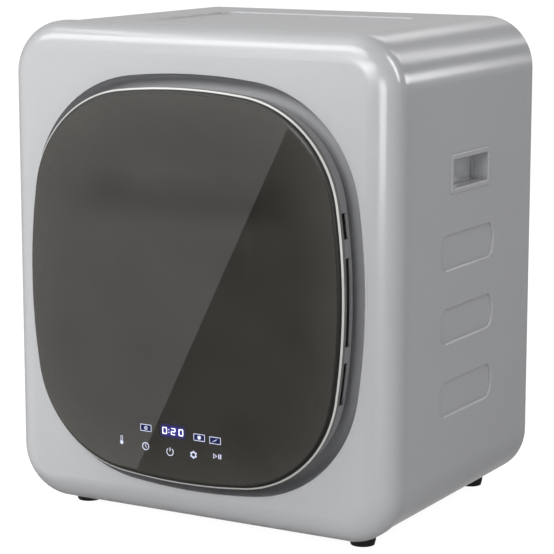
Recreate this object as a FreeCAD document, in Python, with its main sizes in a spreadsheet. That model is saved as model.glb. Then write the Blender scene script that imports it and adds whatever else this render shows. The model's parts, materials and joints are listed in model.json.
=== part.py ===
import FreeCAD, Part
import math
import os
import Sketcher
from FreeCAD import Placement, Rotation, Vector

# Compact front-loading tumble dryer. X runs to the right, Y to the rear, Z up.
# The origin is on the floor, in the middle of the width and of the whole depth.

DRIVING_SIZES = {
    # case
    "body_width": 494.0,
    "body_height": 558.0,
    "foot_height": 12.0,
    "corner_radius": 61.0,
    "front_round": 31.0,
    "frame_depth": 42.0,
    "case_depth": 324.0,
    "case_step": 1.5,
    "skin": 1.2,
    "moulding": 3.0,
    "flange_width": 13.0,
    "fit_gap": 0.3,
    "slip_gap": 0.05,
    # pressings in the case
    "top_panel_width": 264.0,
    "top_panel_length": 196.0,
    "top_panel_setback": 56.0,
    "pad_length": 137.0,
    "pad_height": 38.0,
    "pad_corner": 14.0,
    "pad_pitch": 83.0,
    "pad_middle_height": 238.0,
    "pad_setback": 151.5,
    "press_depth": 2.6,
    "press_round": 2.3,
    # handle cups
    "cup_length": 104.0,
    "cup_height": 44.0,
    "cup_border": 6.0,
    "cup_depth": 22.0,
    "cup_proud": 1.4,
    "cup_centre_height": 407.5,
    "cup_setback": 155.0,
    # feet
    "foot_radius": 15.0,
    "foot_inset_side": 63.0,
    "foot_inset_front": 60.0,
    "foot_inset_rear": 23.0,
    # door
    "door_half_width": 200.5,
    "door_half_height": 219.5,
    "door_side_radius": 688.0,
    "door_top_radius": 654.0,
    "door_corner_radius": 130.0,
    "door_centre_height": 284.0,
    "door_stand": 26.6,
    "glass_thickness": 5.0,
    "glass_edge": 6.0,
    "rim_width": 2.0,
    "rim_depth": 7.0,
    "shell_inset": 1.6,
    "shell_depth": 40.0,
    "shell_taper": 10.0,
    "shell_wall": 2.5,
    "door_gap": 15.5,
    "dish_slope": 17.0,
    "dish_depth": 28.0,
    "mouth_margin": 42.5,
    "bowl_gap": 12.0,
    "bowl_depth": 36.0,
    "seal_width": 10.0,
    "hinge_inset": 11.0,
    "hinge_setback": 16.6,
    "hinge_half_length": 54.0,
    "pin_radius": 3.0,
    "knuckle_radius": 5.5,
    # drum
    "drum_radius": 206.0,
    "drum_setback": 96.0,
    "drum_depth": 226.0,
    "drum_lip": 8.0,
    "felt_thickness": 4.0,
    "drum_dome": 10.0,
    "drum_dome_radius": 78.0,
    "drum_hole_radius": 3.0,
    "hub_radius": 40.0,
    "bearing_radius": 16.0,
    "bearing_length": 14.0,
    "lifter_height": 42.0,
    "lifter_width": 46.0,
    "shaft_radius": 10.0,
    "bulkhead_gap": 8.0,
    # drive and air
    "motor_side": 150.0,
    "motor_height": 76.0,
    "motor_radius": 41.0,
    "motor_length": 112.0,
    "motor_shaft_radius": 6.0,
    "pulley_radius": 10.0,
    "belt_width": 12.0,
    "belt_thickness": 3.0,
    "belt_inset": 62.0,
    "fan_radius": 48.0,
    "fan_width": 26.0,
    "fan_inlet": 24.0,
    "duct_wall": 1.6,
    "duct_depth": 12.0,
    "vent_reach": 18.0,
    "vent_radius": 49.0,
    "vent_height": 76.0,
    "filter_width": 116.0,
    "filter_thickness": 8.0,
    "filter_floor_gap": 17.8,
    "filter_setback": 62.0,
    "filter_border": 6.0,
    "heater_width": 160.0,
    "heater_height": 80.0,
    "heater_centre_height": 410.0,
    "board_thickness": 1.6,
    "screw_radius": 2.0,
}

LIFTERS = 3
FAN_BLADES = 24
DRUM_HOLE_RINGS = 4
DRUM_HOLES_PER_RING = 24
LOUVRES = 9
HEATER_FINS = 17

doc = FreeCAD.newDocument("compact_tumble_dryer")


class Size:
    """A length with the sheet expression that gives it."""

    def __init__(self, value, text):
        self.value = float(value)
        self.text = text

    def __float__(self):
        return self.value

    def __add__(self, other):
        return Size(self.value + float(other), "(%s + %s)" % (self.text, expression(other)))

    def __radd__(self, other):
        return Size(float(other) + self.value, "(%s + %s)" % (expression(other), self.text))

    def __sub__(self, other):
        return Size(self.value - float(other), "(%s - %s)" % (self.text, expression(other)))

    def __rsub__(self, other):
        return Size(float(other) - self.value, "(%s - %s)" % (expression(other), self.text))

    def __mul__(self, other):
        return Size(self.value * float(other), "(%s * %s)" % (self.text, expression(other)))

    def __truediv__(self, other):
        return Size(self.value / float(other), "(%s / %s)" % (self.text, expression(other)))

    def __neg__(self):
        return Size(-self.value, "(0 - %s)" % self.text)


def expression(value):
    return value.text if isinstance(value, Size) else repr(float(value))


def make_sheet(sizes):
    sheet = doc.addObject("Spreadsheet::Sheet", "sizes")
    for row, (alias, value) in enumerate(sizes.items(), start=1):
        sheet.set("A%d" % row, alias)
        sheet.set("B%d" % row, str(value))
        sheet.setAlias("B%d" % row, alias)
    doc.recompute()
    return {alias: Size(sheet.get(alias), "sizes." + alias) for alias in sizes}


class Sizes:
    """The sheet's values by name."""

    def __init__(self, values):
        self.__dict__.update(values)


d = Sizes(make_sheet(DRIVING_SIZES))

# Planes and levels that several pieces share.
half_depth = (d.door_stand + d.frame_depth + d.case_depth + d.vent_reach) / 2
y_glass = -half_depth
y_face = y_glass + d.door_stand
y_seam = y_face + d.frame_depth
y_back = y_seam + d.case_depth
y_glass_back = y_glass + d.glass_thickness
y_shell_back = y_glass_back + d.rim_width + d.shell_depth
y_floor = y_face + d.dish_depth
y_floor_back = y_floor + d.moulding
y_drum = y_face + d.drum_setback
y_drum_back = y_drum + d.drum_depth
y_bulkhead = y_drum_back + d.bulkhead_gap
y_panel = y_back - d.skin
y_flange = y_panel - d.skin
y_front_wall = y_seam + d.skin
z_bottom = d.foot_height + d.case_step
z_top = d.foot_height + d.body_height - d.case_step
z_inside = z_bottom + d.skin
z_roof = z_top - d.skin
z_middle = d.foot_height + d.body_height / 2
z_door = d.door_centre_height
case_half = d.body_width / 2 - d.case_step
inner_half = case_half - d.skin
inner_corner = d.corner_radius - d.case_step - d.skin
mouth_radius = d.door_half_width - d.mouth_margin
bowl_radius = mouth_radius - d.bowl_gap
collar_radius = mouth_radius + d.duct_wall
drum_lip_radius = collar_radius + d.felt_thickness + d.fit_gap
drum_outer = d.drum_radius + d.skin


# Ways of making a sub-part.

def body(label, at=(0, 0, 0), lay=False):
    """An empty body. A laid body has its own Z along the dryer's depth."""
    made = doc.addObject("PartDesign::Body", label)
    made.Label = label
    if lay:
        made.Placement = Placement(Vector(), Rotation(Vector(1, 0, 0), -90))
    for axis, value in zip("xyz", at):
        made.setExpression("Placement.Base." + axis, expression(value))
    return made


def plane(piece, role):
    return [item for item in piece.Origin.OriginFeatures if item.Role == role][0]


def pin_point(sketch, item, position, x, y):
    """Ties one point of a sketch to its two coordinates."""
    for kind, value in (("DistanceX", x), ("DistanceY", y)):
        number = sketch.addConstraint(Sketcher.Constraint(kind, -1, 1, item, position, float(value)))
        sketch.setExpression("Constraints[%d]" % number, expression(value))


def draw_polygon(sketch, points):
    first = sketch.GeometryCount
    count = len(points)
    for index in range(count):
        start = Vector(float(points[index][0]), float(points[index][1]), 0)
        end = Vector(float(points[(index + 1) % count][0]), float(points[(index + 1) % count][1]), 0)
        sketch.addGeometry(Part.LineSegment(start, end), False)
    for index in range(count):
        following = first + (index + 1) % count
        sketch.addConstraint(Sketcher.Constraint("Coincident", first + index, 2, following, 1))
        pin_point(sketch, first + index, 1, *points[index])


def draw_circle(sketch, x, y, radius):
    middle = Vector(float(x), float(y), 0)
    item = sketch.addGeometry(Part.Circle(middle, Vector(0, 0, 1), float(radius)), False)
    pin_point(sketch, item, 3, x, y)
    number = sketch.addConstraint(Sketcher.Constraint("Radius", item, float(radius)))
    sketch.setExpression("Constraints[%d]" % number, expression(radius))


def draw_round(sketch, x, y, width, height, radius):
    """A rectangle with round corners about its middle."""
    first = sketch.GeometryCount
    corners = []
    for turn, (side, rise) in enumerate(((1, 1), (-1, 1), (-1, -1), (1, -1))):
        centre = (x + (width / 2 - radius) * side, y + (height / 2 - radius) * rise)
        middle = Vector(float(centre[0]), float(centre[1]), 0)
        circle = Part.Circle(middle, Vector(0, 0, 1), float(radius))
        arc = Part.ArcOfCircle(circle, turn * math.pi / 2, (turn + 1) * math.pi / 2)
        sketch.addGeometry(arc, False)
        corners.append((centre, arc))
    for index in range(4):
        start = corners[index][1].EndPoint
        end = corners[(index + 1) % 4][1].StartPoint
        sketch.addGeometry(Part.LineSegment(start, end), False)
    for index in range(4):
        arc = first + index
        line = first + 4 + index
        sketch.addConstraint(Sketcher.Constraint("Tangent", arc, 2, line, 1))
        sketch.addConstraint(Sketcher.Constraint("Tangent", line, 2, first + (index + 1) % 4, 1))
        pin_point(sketch, arc, 3, *corners[index][0])
        number = sketch.addConstraint(Sketcher.Constraint("Radius", arc, float(radius)))
        sketch.setExpression("Constraints[%d]" % number, expression(radius))


DRAW = {"polygon": draw_polygon, "circle": draw_circle, "round": draw_round}


def rectangle(x0, y0, x1, y1):
    return ("polygon", [(x0, y0), (x1, y0), (x1, y1), (x0, y1)])


def add_sketch(piece, role, offset, loops):
    sketch = piece.newObject("Sketcher::SketchObject", piece.Name + "_sketch")
    sketch.AttachmentSupport = [(plane(piece, role), "")]
    sketch.MapMode = "FlatFace"
    sketch.setExpression("AttachmentOffset.Base.z", expression(offset))
    for kind, *values in loops:
        DRAW[kind](sketch, *values)
    return sketch


def extrude(piece, kind, role, offset, length, loops, against=False):
    """Pads or pockets a sketch from its plane, along the plane's normal or against it."""
    feature = piece.newObject("PartDesign::" + kind, piece.Name + "_" + kind.lower())
    feature.Profile = add_sketch(piece, role, offset, loops)
    feature.setExpression("Length", expression(length))
    feature.Reversed = against if kind == "Pad" else not against
    return feature


def pad_back(piece, y, depth, *loops):
    """Adds a plate that reaches from y towards the rear, drawn in X and Z."""
    return extrude(piece, "Pad", "XZ_Plane", -y, depth, loops, True)


def cut_back(piece, y, depth, *loops):
    """Cuts from y towards the rear, drawn in X and Z."""
    return extrude(piece, "Pocket", "XZ_Plane", -y, depth, loops, True)


def pad_up(piece, z, height, *loops):
    return extrude(piece, "Pad", "XY_Plane", z, height, loops)


def cut_up(piece, z, height, *loops):
    return extrude(piece, "Pocket", "XY_Plane", z, height, loops)


def pad_right(piece, x, width, *loops):
    """Adds a block that reaches from x to the right, drawn in Y and Z."""
    return extrude(piece, "Pad", "YZ_Plane", x, width, loops)


def cut_right(piece, x, width, *loops):
    return extrude(piece, "Pocket", "YZ_Plane", x, width, loops)


def turn(piece, kind, points):
    """Revolves or grooves a profile of radii and heights about the body's own Z."""
    feature = piece.newObject("PartDesign::" + kind, piece.Name + "_" + kind.lower())
    sketch = add_sketch(piece, "XZ_Plane", 0, [("polygon", points)])
    feature.Profile = sketch
    feature.ReferenceAxis = (sketch, ["V_Axis"])
    feature.Angle = 360
    return feature


def turned(label, at, points, lay=True):
    piece = body(label, at, lay)
    turn(piece, "Revolution", points)
    return piece


NEAR = 1e-4


def lies_at(low, high, level):
    """Whether both ends of an extent are on one level."""
    return abs(low - float(level)) < NEAR and abs(high - float(level)) < NEAR


def soften(piece, kind, size, wanted):
    """Rounds or bevels the edges of the body that pass the test."""
    doc.recompute()
    base = piece.Tip
    names = ["Edge%d" % (n + 1) for n, edge in enumerate(base.Shape.Edges) if wanted(edge)]
    feature = piece.newObject("PartDesign::" + kind, piece.Name + "_" + kind.lower())
    feature.Base = (base, names)
    feature.setExpression("Radius" if kind == "Fillet" else "Size", expression(size))
    return feature


def repeat_round(piece, features, count, axis="Z_Axis"):
    pattern = piece.newObject("PartDesign::PolarPattern", piece.Name + "_pattern")
    pattern.Originals = features
    pattern.Axis = (plane(piece, axis), [""])
    pattern.Angle = 360
    pattern.Occurrences = count
    piece.Tip = pattern
    return pattern


def repeat_line(piece, features, count, length, axis):
    pattern = piece.newObject("PartDesign::LinearPattern", piece.Name + "_pattern")
    pattern.Originals = features
    pattern.Direction = (plane(piece, axis), [""])
    pattern.setExpression("Length", expression(length))
    pattern.Occurrences = count
    piece.Tip = pattern
    return pattern


def formed(label, shape):
    """A sub-part whose form is worked out here, from the sheet's values."""
    made = doc.addObject("Part::Feature", label)
    made.Label = label
    made.Shape = shape
    made.Placement = Placement()
    return made


# Case.

foot_x = d.body_width / 2 - d.foot_inset_side
foot_rows = {"front": y_face + d.foot_inset_front, "rear": y_back - d.foot_inset_rear}
foot_sides = {"left": -foot_x, "right": foot_x}
foot_places = [(x, y) for x in foot_sides.values() for y in foot_rows.values()]
screw_hole = d.screw_radius + d.slip_gap
screw_head = d.screw_radius * 2
rear_screw_x = inner_half - d.flange_width / 2
rear_screw_rises = (-d.body_height / 3, 0, d.body_height / 3)
rear_screw_places = [(rear_screw_x * side, z_middle + rise) for side in (-1, 1) for rise in rear_screw_rises]
cup_wall = d.duct_wall
cup_mouth_length = d.cup_length - d.cup_border * 2
cup_mouth_height = d.cup_height - d.cup_border * 2
cup_corner = d.cup_border / 2
gland_x = inner_half - d.corner_radius
gland_radius = d.shaft_radius
vent_opening = d.vent_radius - d.duct_wall


def inner_round(inset):
    """The inside outline of the case, drawn in by an inset."""
    width = (inner_half - inset) * 2
    height = z_roof - z_inside - inset * 2
    return ("round", 0, z_middle, width, height, inner_corner - inset)


def pads(grow):
    y = y_seam + d.pad_setback
    heights = [d.pad_middle_height + d.pad_pitch * step for step in (-1, 0, 1)]
    size = (d.pad_length + grow, d.pad_height + grow, d.pad_corner + grow / 2)
    return [("round", y, z, *size) for z in heights]


def cup_outline(border, corner):
    """The mouth of a handle cup, grown by a border all round."""
    y = y_seam + d.cup_setback
    length = cup_mouth_length + border * 2
    height = cup_mouth_height + border * 2
    return ("round", y, d.cup_centre_height, length, height, corner)


def top_panel(grow):
    y = y_seam + d.top_panel_setback + d.top_panel_length / 2
    return ("round", 0, y, d.top_panel_width + grow, d.top_panel_length + grow, d.pad_corner + grow / 2)


def case_wrap():
    piece = body("case_wrap")
    outside = ("round", 0, z_middle, case_half * 2, z_top - z_bottom, d.corner_radius - d.case_step)
    pad_back(piece, y_seam, d.case_depth, outside)
    cut_back(piece, y_seam, d.skin, inner_round(d.flange_width))
    cut_back(piece, y_front_wall, y_flange - y_front_wall, inner_round(0))
    cut_back(piece, y_flange, d.skin, inner_round(d.flange_width))
    cut_back(piece, y_panel, d.skin, inner_round(0))
    rim = d.skin * 2
    cup_border = cup_wall + d.fit_gap
    for side in (-1, 1):
        inside_start = inner_half - d.press_depth if side > 0 else -inner_half
        outside_start = case_half - d.press_depth if side > 0 else -case_half
        pad_right(piece, inside_start, d.press_depth, *pads(rim))
        cut_right(piece, outside_start, d.press_depth, *pads(0))
        skin_start = inner_half if side > 0 else -case_half
        cut_right(piece, skin_start, d.skin, cup_outline(cup_border, cup_corner + cup_border))
    pad_up(piece, z_roof - d.press_depth, d.press_depth, top_panel(rim))
    cut_up(piece, z_top - d.press_depth, d.press_depth, top_panel(0))
    cut_up(piece, z_bottom, d.skin, *[("circle", x, y, screw_hole) for x, y in foot_places])
    cut_back(piece, y_flange, d.skin, *[("circle", x, z, screw_hole) for x, z in rear_screw_places])
    soften(piece, "Fillet", d.press_round, is_press_rim)
    return piece


def is_press_rim(edge):
    """The outer rims of the pressed pads and of the pressed top panel."""
    box = edge.BoundBox
    clear_of_ends = box.YMin > y_seam.value + 1 and box.YMax < y_back.value - 1
    if not clear_of_ends:
        return False
    if lies_at(box.ZMin, box.ZMax, z_top):
        return max(abs(box.XMin), abs(box.XMax)) < d.top_panel_width.value / 2 + 1
    pad_top = float(d.pad_middle_height + d.pad_pitch + d.pad_height)
    pad_low = float(z_bottom + d.corner_radius)
    on_side = lies_at(box.XMin, box.XMax, case_half) or lies_at(box.XMin, box.XMax, -case_half)
    return on_side and box.ZMax < pad_top and box.ZMin > pad_low


def handle_cup(label, side):
    piece = body(label)
    floor = case_half - d.cup_depth
    brim = case_half + d.cup_proud
    start = {"brim": case_half, "cup": floor, "hollow": floor + cup_wall}
    if side < 0:
        start = {"brim": -brim, "cup": -case_half, "hollow": -brim}
    pad_right(piece, start["brim"], d.cup_proud, cup_outline(d.cup_border, cup_corner))
    pad_right(piece, start["cup"], d.cup_depth, cup_outline(cup_wall, cup_corner + cup_wall))
    cut_right(piece, start["hollow"], d.cup_depth + d.cup_proud - cup_wall, cup_outline(0, cup_corner))
    outside = brim * side
    soften(piece, "Fillet", d.cup_proud * 0.8, lambda e: lies_at(e.BoundBox.XMin, e.BoundBox.XMax, outside))
    inside = (floor + cup_wall) * side
    soften(piece, "Fillet", cup_corner * 0.8, lambda e: lies_at(e.BoundBox.XMin, e.BoundBox.XMax, inside))
    return piece


def foot(row, side):
    top = z_bottom
    seat = d.foot_height / 2
    points = [
        (screw_hole, top),
        (d.foot_radius, top),
        (d.foot_radius, seat),
        (d.foot_radius - d.case_step, 0),
        (screw_head + d.fit_gap, 0),
        (screw_head + d.fit_gap, seat),
        (screw_hole, seat),
    ]
    return turned("foot_%s_%s" % (row, side), (foot_sides[side], foot_rows[row], 0), points, lay=False)


def screw_group(label, heads, direction, length):
    """Equal screws, each with its head's underside at a given point and its shank along a direction."""
    solids = []
    for point in heads:
        at = Vector(*[float(value) for value in point])
        head = Part.makeCylinder(screw_head.value, d.screw_radius.value, at, -direction)
        shank = Part.makeCylinder(d.screw_radius.value, float(length), at, direction)
        solids.append(head.fuse(shank).removeSplitter())
    return formed(label, Part.makeCompound(solids))


def base_tray():
    piece = body("base_tray")
    reach = foot_x - d.foot_radius
    y_start = y_front_wall + d.skin + d.fit_gap
    y_stop = y_bulkhead - d.fit_gap
    pad_up(piece, z_inside, d.skin, rectangle(-reach, y_start, reach, y_stop))
    return piece


def rear_panel():
    piece = body("rear_panel")
    pad_back(piece, y_panel, d.skin, inner_round(d.fit_gap))
    cut_back(piece, y_panel, d.skin, ("circle", 0, d.vent_height, vent_opening))
    cut_back(piece, y_panel, d.skin, ("circle", gland_x, d.vent_height, gland_radius + d.slip_gap))
    cut_back(piece, y_panel, d.skin, *[("circle", x, z, screw_hole) for x, z in rear_screw_places])
    pitch = d.heater_height / LOUVRES
    span = pitch * (LOUVRES - 1)
    length = d.heater_width - d.flange_width * 2
    lowest = ("round", 0, d.heater_centre_height - span / 2, length, pitch / 2, pitch / 5)
    louvre = cut_back(piece, y_panel, d.skin, lowest)
    repeat_line(piece, [louvre], LOUVRES, span, "Z_Axis")
    return piece


def exhaust_collar():
    """The round spigot that takes the exhaust hose, with a bead at its end."""
    bead = d.skin / 2
    points = [
        (vent_opening, y_back),
        (d.vent_radius + d.flange_width, y_back),
        (d.vent_radius + d.flange_width, y_back + d.moulding),
        (d.vent_radius, y_back + d.moulding),
        (d.vent_radius, y_back + d.vent_reach - bead),
        (d.vent_radius - bead, y_back + d.vent_reach),
        (vent_opening, y_back + d.vent_reach),
    ]
    return turned("exhaust_collar", (0, 0, d.vent_height), points)


def cord_gland():
    """The bush in the rear panel where the mains cord leaves."""
    bore = gland_radius / 2
    flange = gland_radius + d.moulding
    nose = y_back + d.flange_width
    points = [
        (bore, y_panel - d.moulding),
        (gland_radius, y_panel - d.moulding),
        (gland_radius, y_back),
        (flange, y_back),
        (flange, y_back + d.moulding),
        (gland_radius, y_back + d.moulding),
        (gland_radius - d.moulding, nose),
        (bore, nose),
    ]
    return turned("cord_gland", (gland_x, 0, d.vent_height), points)


# Rounded-square outline of the door: two side arcs, a top and a bottom arc and four corner arcs.

def door_corner_centre():
    side = Vector(float(d.door_half_width - d.door_side_radius), 0, 0)
    top = Vector(0, 0, float(d.door_half_height - d.door_top_radius))
    side_reach = float(d.door_side_radius - d.door_corner_radius)
    top_reach = float(d.door_top_radius - d.door_corner_radius)
    apart = (top - side).Length
    along = (side_reach ** 2 - top_reach ** 2 + apart ** 2) / (2 * apart)
    across = math.sqrt(side_reach ** 2 - along ** 2)
    way = (top - side).normalize()
    return side, top, side + way * along + Vector(-way.z, 0, way.x) * across


def door_outline(grow, y):
    """The door's outline, grown all round, in the plane at y."""
    side, top, corner = door_corner_centre()
    base_radii = (d.door_side_radius, d.door_top_radius, d.door_corner_radius)
    radii = [float(radius) + float(grow) for radius in base_radii]
    to_side = (corner - side).normalize()
    to_top = (corner - top).normalize()
    side_end = side + to_side * radii[0]
    top_end = top + to_top * radii[1]
    corner_middle = corner + (to_side + to_top).normalize() * radii[2]
    half_width = float(d.door_half_width) + float(grow)
    half_height = float(d.door_half_height) + float(grow)

    def at(point, flip_x=1, flip_z=1):
        return Vector(point.x * flip_x, float(y), float(z_door) + point.z * flip_z)

    edges = []
    for flip_x, flip_z in ((1, 1), (-1, 1), (-1, -1), (1, -1)):
        ends = [at(side_end, flip_x, flip_z), at(top_end, flip_x, flip_z)]
        middle = at(corner_middle, flip_x, flip_z)
        edges.append((ends, middle))
    right = Vector(half_width, 0, 0)
    crown = Vector(0, 0, half_height)
    arcs = [
        Part.Arc(edges[3][0][0], at(right), edges[0][0][0]),
        Part.Arc(edges[0][0][0], edges[0][1], edges[0][0][1]),
        Part.Arc(edges[0][0][1], at(crown), edges[1][0][1]),
        Part.Arc(edges[1][0][1], edges[1][1], edges[1][0][0]),
        Part.Arc(edges[1][0][0], at(right, -1), edges[2][0][0]),
        Part.Arc(edges[2][0][0], edges[2][1], edges[2][0][1]),
        Part.Arc(edges[2][0][1], at(crown, 1, -1), edges[3][0][1]),
        Part.Arc(edges[3][0][1], edges[3][1], edges[3][0][0]),
    ]
    return Part.Wire([arc.toShape() for arc in arcs])


def door_prism(grow, y_start, y_stop):
    return Part.Face(door_outline(grow, y_start)).extrude(Vector(0, float(y_stop) - float(y_start), 0))


def door_loft(sections, ruled=False):
    return Part.makeLoft([door_outline(grow, y) for grow, y in sections], True, ruled)


def round_tube(radius, x, z, y_start, y_stop):
    at = Vector(float(x), float(y_start), float(z))
    return Part.makeCylinder(float(radius), float(y_stop) - float(y_start), at, Vector(0, 1, 0))


def block(x0, x1, y0, y1, z0, z1):
    low = [min(float(a), float(b)) for a, b in ((x0, x1), (y0, y1), (z0, z1))]
    high = [max(float(a), float(b)) for a, b in ((x0, x1), (y0, y1), (z0, z1))]
    return Part.makeBox(high[0] - low[0], high[1] - low[1], high[2] - low[2], Vector(*low))


def on_plane(shape, y):
    return [edge for edge in shape.Edges if lies_at(edge.BoundBox.YMin, edge.BoundBox.YMax, y)]


def frame_block(inset, y_start, y_stop, front_round):
    """The rounded block of the front frame, drawn in by an inset."""
    half = d.body_width / 2 - inset
    shape = block(-half, half, y_start, y_stop, d.foot_height + inset, d.foot_height + d.body_height - inset)
    upright = [edge for edge in shape.Edges if edge.BoundBox.YLength > 1]
    shape = shape.makeFillet(float(d.corner_radius - inset), upright)
    return shape.makeFillet(float(front_round), on_plane(shape, y_start))


COVE_STEPS = 6


def dish_sections(grow, depth):
    """A cove that starts square to the face and ends flat on the floor of the dish."""
    sections = []
    for step in range(COVE_STEPS + 1):
        angle = math.radians(90 * step / COVE_STEPS)
        reach = float(d.door_gap) - float(d.dish_slope) * (1 - math.cos(angle))
        sections.append((reach + float(grow), float(y_face) + float(depth) * math.sin(angle)))
    return sections


def front_frame():
    outside = frame_block(0, y_face, y_seam, d.front_round)
    outside = outside.makeFillet(d.case_step.value * 0.8, on_plane(outside, y_seam))
    inside = frame_block(d.moulding, y_face + d.moulding, y_seam, d.front_round - d.moulding)
    tub = door_loft(dish_sections(d.moulding, d.dish_depth + d.moulding))
    dish = door_loft(dish_sections(0, d.dish_depth))
    mouth = round_tube(mouth_radius, 0, z_door, y_face, y_seam)
    shape = outside.cut(inside).fuse(tub).cut(dish).cut(mouth)
    return formed("front_frame", shape.removeSplitter())


# Door, with everything that swings with it.

y_rim = y_glass_back - d.skin
y_rim_back = y_rim + d.rim_depth
y_shell = y_glass_back + d.rim_width
y_shell_floor = y_shell_back - d.shell_wall
y_grip = y_rim_back + d.skin
y_grip_back = y_grip + d.flange_width + d.moulding
y_flank = y_grip_back + d.moulding
hinge_x = -(d.door_half_width - d.hinge_inset)
hinge_y = y_glass + d.hinge_setback
hinge_arm = d.knuckle_radius * 2
leaf_half_length = d.hinge_half_length - hinge_arm - d.fit_gap
notch_x = hinge_x + d.knuckle_radius * 3
bowl_flange = d.flange_width + d.moulding
seal_radius = bowl_radius + bowl_flange + d.shell_wall
keeper_x = seal_radius + d.seal_width + d.rim_width
keeper_width = d.seal_width - d.skin
keeper_half_length = mouth_radius / 10
GLASS_STEPS = 5
GRIP_SLOTS = ((-112.0, -65.0), (-47.0, 49.0), (69.0, 97.0))


def door_glass():
    """Tinted glass with a soft rounded edge."""
    edge_start = y_glass_back - d.slip_gap * 10
    crown = float(edge_start) - float(y_glass)
    sections = []
    for step in range(GLASS_STEPS + 1):
        angle = math.radians(90 * step / GLASS_STEPS)
        inset = -d.glass_edge.value * (1 - math.cos(angle))
        sections.append((inset, edge_start.value - crown * math.sin(angle)))
    shape = door_prism(0, edge_start, y_glass_back).fuse(door_loft(sections))
    return formed("door_glass", shape.removeSplitter())


def door_rim():
    """Silver rim with a bevelled front, a lip behind the glass and a seat for the shell."""
    bevel = d.rim_width - d.slip_gap * 8
    front = door_loft([(d.rim_width - bevel, y_rim), (d.rim_width, y_rim + bevel)], True)
    shape = front.fuse(door_prism(d.rim_width, y_rim + bevel, y_rim_back))
    glass_seat = door_prism(d.slip_gap, y_rim, y_glass_back)
    shell_seat = door_prism(d.slip_gap - d.shell_inset, y_shell, y_rim_back)
    window = door_prism(-(d.shell_inset + d.shell_wall), y_glass_back, y_shell)
    shape = shape.cut(glass_seat).cut(shell_seat).cut(window)
    return formed("door_rim", shape.removeSplitter())


def shell_block(inset, y_stop):
    """The pan of the door's back, straight past the grip slots and then tapering, drawn in by an inset."""
    drawn_in = -(d.shell_inset + inset)
    straight = door_prism(drawn_in, y_shell, y_flank)
    taper = door_loft([(drawn_in, y_flank), (drawn_in - d.shell_taper, y_stop)], True)
    return straight.fuse(taper)


def door_shell():
    shape = shell_block(0, y_shell_back).cut(shell_block(d.shell_wall, y_shell_floor))
    shape = shape.cut(round_tube(bowl_radius + d.slip_gap, 0, z_door, y_shell, y_shell_back))
    outer = d.door_half_width
    notch_half = d.hinge_half_length + d.moulding
    y_notch = hinge_y - d.knuckle_radius - d.rim_width
    notch = block(-outer, notch_x, y_notch, y_shell_back, z_door - notch_half, z_door + notch_half)
    shape = shape.cut(notch)
    for low, high in GRIP_SLOTS:
        inner = outer - d.shell_inset - d.shell_taper * 2
        slot = block(inner, outer, y_grip, y_grip_back, z_door + low, z_door + high)
        shape = shape.cut(slot)
    return formed("door_shell", shape.removeSplitter())


def door_bowl():
    """Clear bowl that keeps the load off the door."""
    y_flange_front = y_shell_floor - d.shell_wall
    y_end = y_shell_back + d.bowl_depth
    r = bowl_radius
    wall = d.shell_wall
    draw = d.shell_taper / 2
    nose = d.shell_taper * 2
    points = [
        (r - wall, y_flange_front),
        (r + bowl_flange, y_flange_front),
        (r + bowl_flange, y_shell_floor),
        (r, y_shell_floor),
        (r - draw, y_end - nose / 2),
        (r - draw - nose, y_end),
        (0, y_end),
        (0, y_end - wall),
        (r - draw - nose - wall / 2, y_end - wall),
        (r - draw - wall, y_end - nose / 2 - wall / 2),
    ]
    piece = turned("door_bowl", (0, 0, z_door), points)
    end = y_end - nose / 2
    soften(piece, "Fillet", d.bowl_depth / 8, lambda e: lies_at(e.BoundBox.ZMin, e.BoundBox.ZMax, end))
    return piece


def door_seal():
    """Rubber ring with a soft lip towards the dish floor."""
    lip = d.seal_width / 3
    points = [
        (seal_radius, y_shell_back),
        (seal_radius + d.seal_width, y_shell_back),
        (seal_radius + d.seal_width, y_shell_back + d.moulding),
        (seal_radius + d.seal_width - lip, y_floor - d.fit_gap),
        (seal_radius + lip, y_floor - d.fit_gap),
        (seal_radius, y_shell_back + d.moulding),
    ]
    return turned("door_seal", (0, 0, z_door), points)


display_half = d.door_half_width * 0.45
display_low = z_door - d.door_half_height + d.flange_width * 2
display_high = display_low + d.cup_height * 1.4
display_thickness = d.seal_width


def display_module():
    """Light box of the display behind the glass."""
    piece = body("display_module")
    outline = rectangle(-display_half, display_low, display_half, display_high)
    pad_back(piece, y_glass_back, display_thickness, outline)
    pocket_half = display_half / 2
    middle = (display_low + display_high) / 2
    window = rectangle(-pocket_half, middle, pocket_half, display_high - d.moulding)
    cut_back(piece, y_glass_back, display_thickness / 2, window)
    return piece


def touch_board():
    piece = body("touch_board")
    start = y_glass_back + display_thickness
    inset = d.moulding
    low = display_low + inset
    high = display_high - inset
    outline = rectangle(inset - display_half, low, display_half - inset, high)
    pad_back(piece, start, d.board_thickness, outline)
    chip = d.seal_width / 2
    for place in (-2, 0, 2):
        x = chip * (place * 3)
        middle = (low + high) / 2
        square = rectangle(x - chip, middle - chip, x + chip, middle + chip)
        pad_back(piece, start, d.board_thickness * 2.5, square)
    return piece


def keeper_plate():
    piece = body("keeper_plate")
    low = z_door - keeper_half_length
    high = z_door + keeper_half_length
    pad_back(piece, y_shell_back, d.rim_width, rectangle(keeper_x, low, keeper_x + keeper_width, high))
    return piece


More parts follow.
